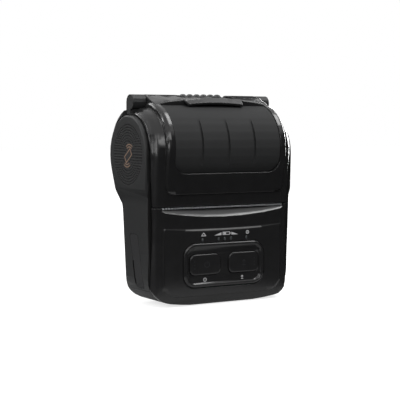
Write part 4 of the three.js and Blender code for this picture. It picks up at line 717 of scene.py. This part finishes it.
# %% Replace the mouldings by their smooth copies
cutter = dimple_cutter()
smoothed = {
    "cover_shell": ("cover", gloss_black, "gloss_black", 2.5 * MM),
    "cover_dome": ("cover", dome_black, "dome_black", 2.5 * MM),
    "front_bezel": ("case", front_gloss, "gloss_black", 2.0 * MM),
    "rear_housing": ("case", matt_black, "matt_black", 3.0 * MM),
    "left_side_plate": ("case", plate_black, "matt_black", None),
    "right_side_plate": ("case", plate_black, "matt_black", None),
    "button_pad": ("case", pad_gloss, "gloss_black", None),
    "power_button": ("power_key", key_gloss, "gloss_black", None),
    "feed_button": ("feed_key", key_gloss, "gloss_black", None),
    "battery_pack": ("battery", matt_black, "matt_black", 3.0 * MM),
    "port_cover": ("port_flap", rubber, "rubber", None),
    "release_lever": ("latch", lever_grey, "lever_grey", None),
    "light_guide": ("case", lens, "lens", None),
}
cutters = {"left_side_plate": cutter}
skins = {node: smooth_copy(node, *look, cutters.get(node)) for node, look in smoothed.items()}
bpy.data.objects.remove(cutter)
faces = {node: len(skin.data.polygons) for node, skin in skins.items()}
print("smooth copies of", len(skins), "solids, faces:", faces)

# %% [markdown]
# ## Floor
#
# The floor is pale and catches a faint shadow close to the printer. Further out it glows plain white for
# the camera, so that it runs into the white room without a horizon, as a paper sweep in a studio does.
# The gloss mirrors it at a much lower glow, which draws soft lines on edges that look down.

# %% Floor
FLOOR_HALF = 4.0
FLOOR_DROP = 0.02 * MM
SHADOW_REACH = 60
SWEEP_START = 150
NEAR_GLOW = 0.72
MIRROR_GLOW = 0.17
BLACK = (0, 0, 0, 1)
WHITE = (1, 1, 1, 1)


def rays(owner, *kinds):
    """1 for light paths of any of the kinds."""
    return any_of(*(owner.node("ShaderNodeLightPath", output="Is " + kind + " Ray") for kind in kinds))


floor_form = bmesh.new()
bmesh.ops.create_grid(floor_form, x_segments=1, y_segments=1, size=FLOOR_HALF)
floor = put_in_scene("floor", finished_mesh("floor", floor_form))
floor.location.z = -FLOOR_DROP
pale = Finish("floor", (0.5, 0.5, 0.5), 0.9, Specular_IOR_Level=0.0)
x, y, z = pale.axes()
away = reach(x, y).step(SHADOW_REACH, SWEEP_START)
shown = rays(pale, "Camera") * (away * (1 - NEAR_GLOW) + NEAR_GLOW)
glow = shown + rays(pale, "Glossy", "Transmission") * MIRROR_GLOW
pale.shader.inputs["Emission Strength"].default_value = 1.0
pale.feed("Emission Color", pale.mix(glow, BLACK, WHITE))
floor.data.materials.append(pale.material)
print("floor ready")

# %% [markdown]
# ## The white room
#
# The camera, gloss and clear plastic see the room as white. It lights the printer more weakly, so that
# the lamps give the surfaces their shape.

# %% World
SHOWN = 1.0
SOFT = 0.4
world = bpy.data.worlds.new("white room")
bpy.context.scene.world = world
world.use_nodes = True
room = Nodes(world.node_tree)
background = room.tree.nodes["Background"]
background.inputs["Color"].default_value = WHITE
strength = rays(room, "Camera", "Glossy", "Transmission") * (SHOWN - SOFT) + SOFT
room.link(strength, background.inputs["Strength"])
print("white room ready")

# %% [markdown]
# ## Lamps
#
# A panel overhead gives the top of the cover its sheen, and a wide one in front lifts the flat gloss. A
# tall one at the left shapes the side plate, and a narrow one nearer the camera draws lines along the
# upright edges. One at the right and one behind light the edges on the far side. Places and sizes are
# in metres and strengths in watts.

# %% Lamps
SOFTBOXES = (
    ("top", (0.42, -0.15, 0.8), (0, 0, 0.06), (0.4, 0.4), 4.2),
    ("front", (-0.3, -0.95, 0.6), (0, 0, 0.07), (0.9, 0.35), 5.0),
    ("left", (-0.95, 0.4, 0.47), (0, 0, 0.1), (0.22, 0.56), 5.5),
    ("edge", (-0.86, -0.52, 0.33), (0, 0, 0.08), (0.12, 0.6), 1.8),
    ("right", (0.85, 0.75, 0.2), (0, 0, 0.08), (0.3, 0.6), 6.0),
    ("back", (-0.25, 0.85, 0.6), (0, 0, 0.07), (0.8, 0.4), 4.0),
)
for name, place, aim, size, power in SOFTBOXES:
    light = bpy.data.lights.new(name, "AREA")
    light.shape = "RECTANGLE"
    light.size, light.size_y = size
    light.energy = power
    lamp = put_in_scene(name, light)
    lamp.location = place
    lamp.rotation_euler = (Vector(aim) - Vector(place)).to_track_quat("-Z", "Y").to_euler()
print(len(SOFTBOXES), "lamps ready")

# %% [markdown]
# ## The black card
#
# Gloss black shows only what it mirrors, so photographers put black card round it and the front stays
# deep. The card lies on the floor and turns up into a wall: a profile of three points, spun once round
# the printer. It starts a little outside the printer, so that low edges still mirror the pale floor.
# Reflections see it, and the camera doesn't.

# %% Card
CARD_NEAR = 0.09
CARD_FAR = 1.2
CARD_LIFT = 1 * MM
CARD_HEIGHT = 0.75
CARD_STEPS = 72
card_form = bmesh.new()
profile = [card_form.verts.new((0, out, up)) for out, up in (
    (CARD_NEAR, CARD_LIFT), (CARD_FAR, CARD_LIFT), (CARD_FAR, CARD_HEIGHT))]
edges = [card_form.edges.new(pair) for pair in zip(profile, profile[1:])]
bmesh.ops.spin(card_form, geom=profile + edges, cent=(0, 0, 0), axis=(0, 0, 1), angle=math.tau,
               steps=CARD_STEPS, use_merge=False)
card = put_in_scene("card", finished_mesh("card", card_form))
card.data.materials.append(Finish("card", (0.01, 0.01, 0.01), 0.95, Specular_IOR_Level=0.0).material)
card.visible_camera = False
card.visible_shadow = False
print("card ready")

# %% [markdown]
# ## Colours
#
# The plain view transform shows colours as they are set.

# %% Picture settings
bpy.context.scene.view_settings.view_transform = "Standard"
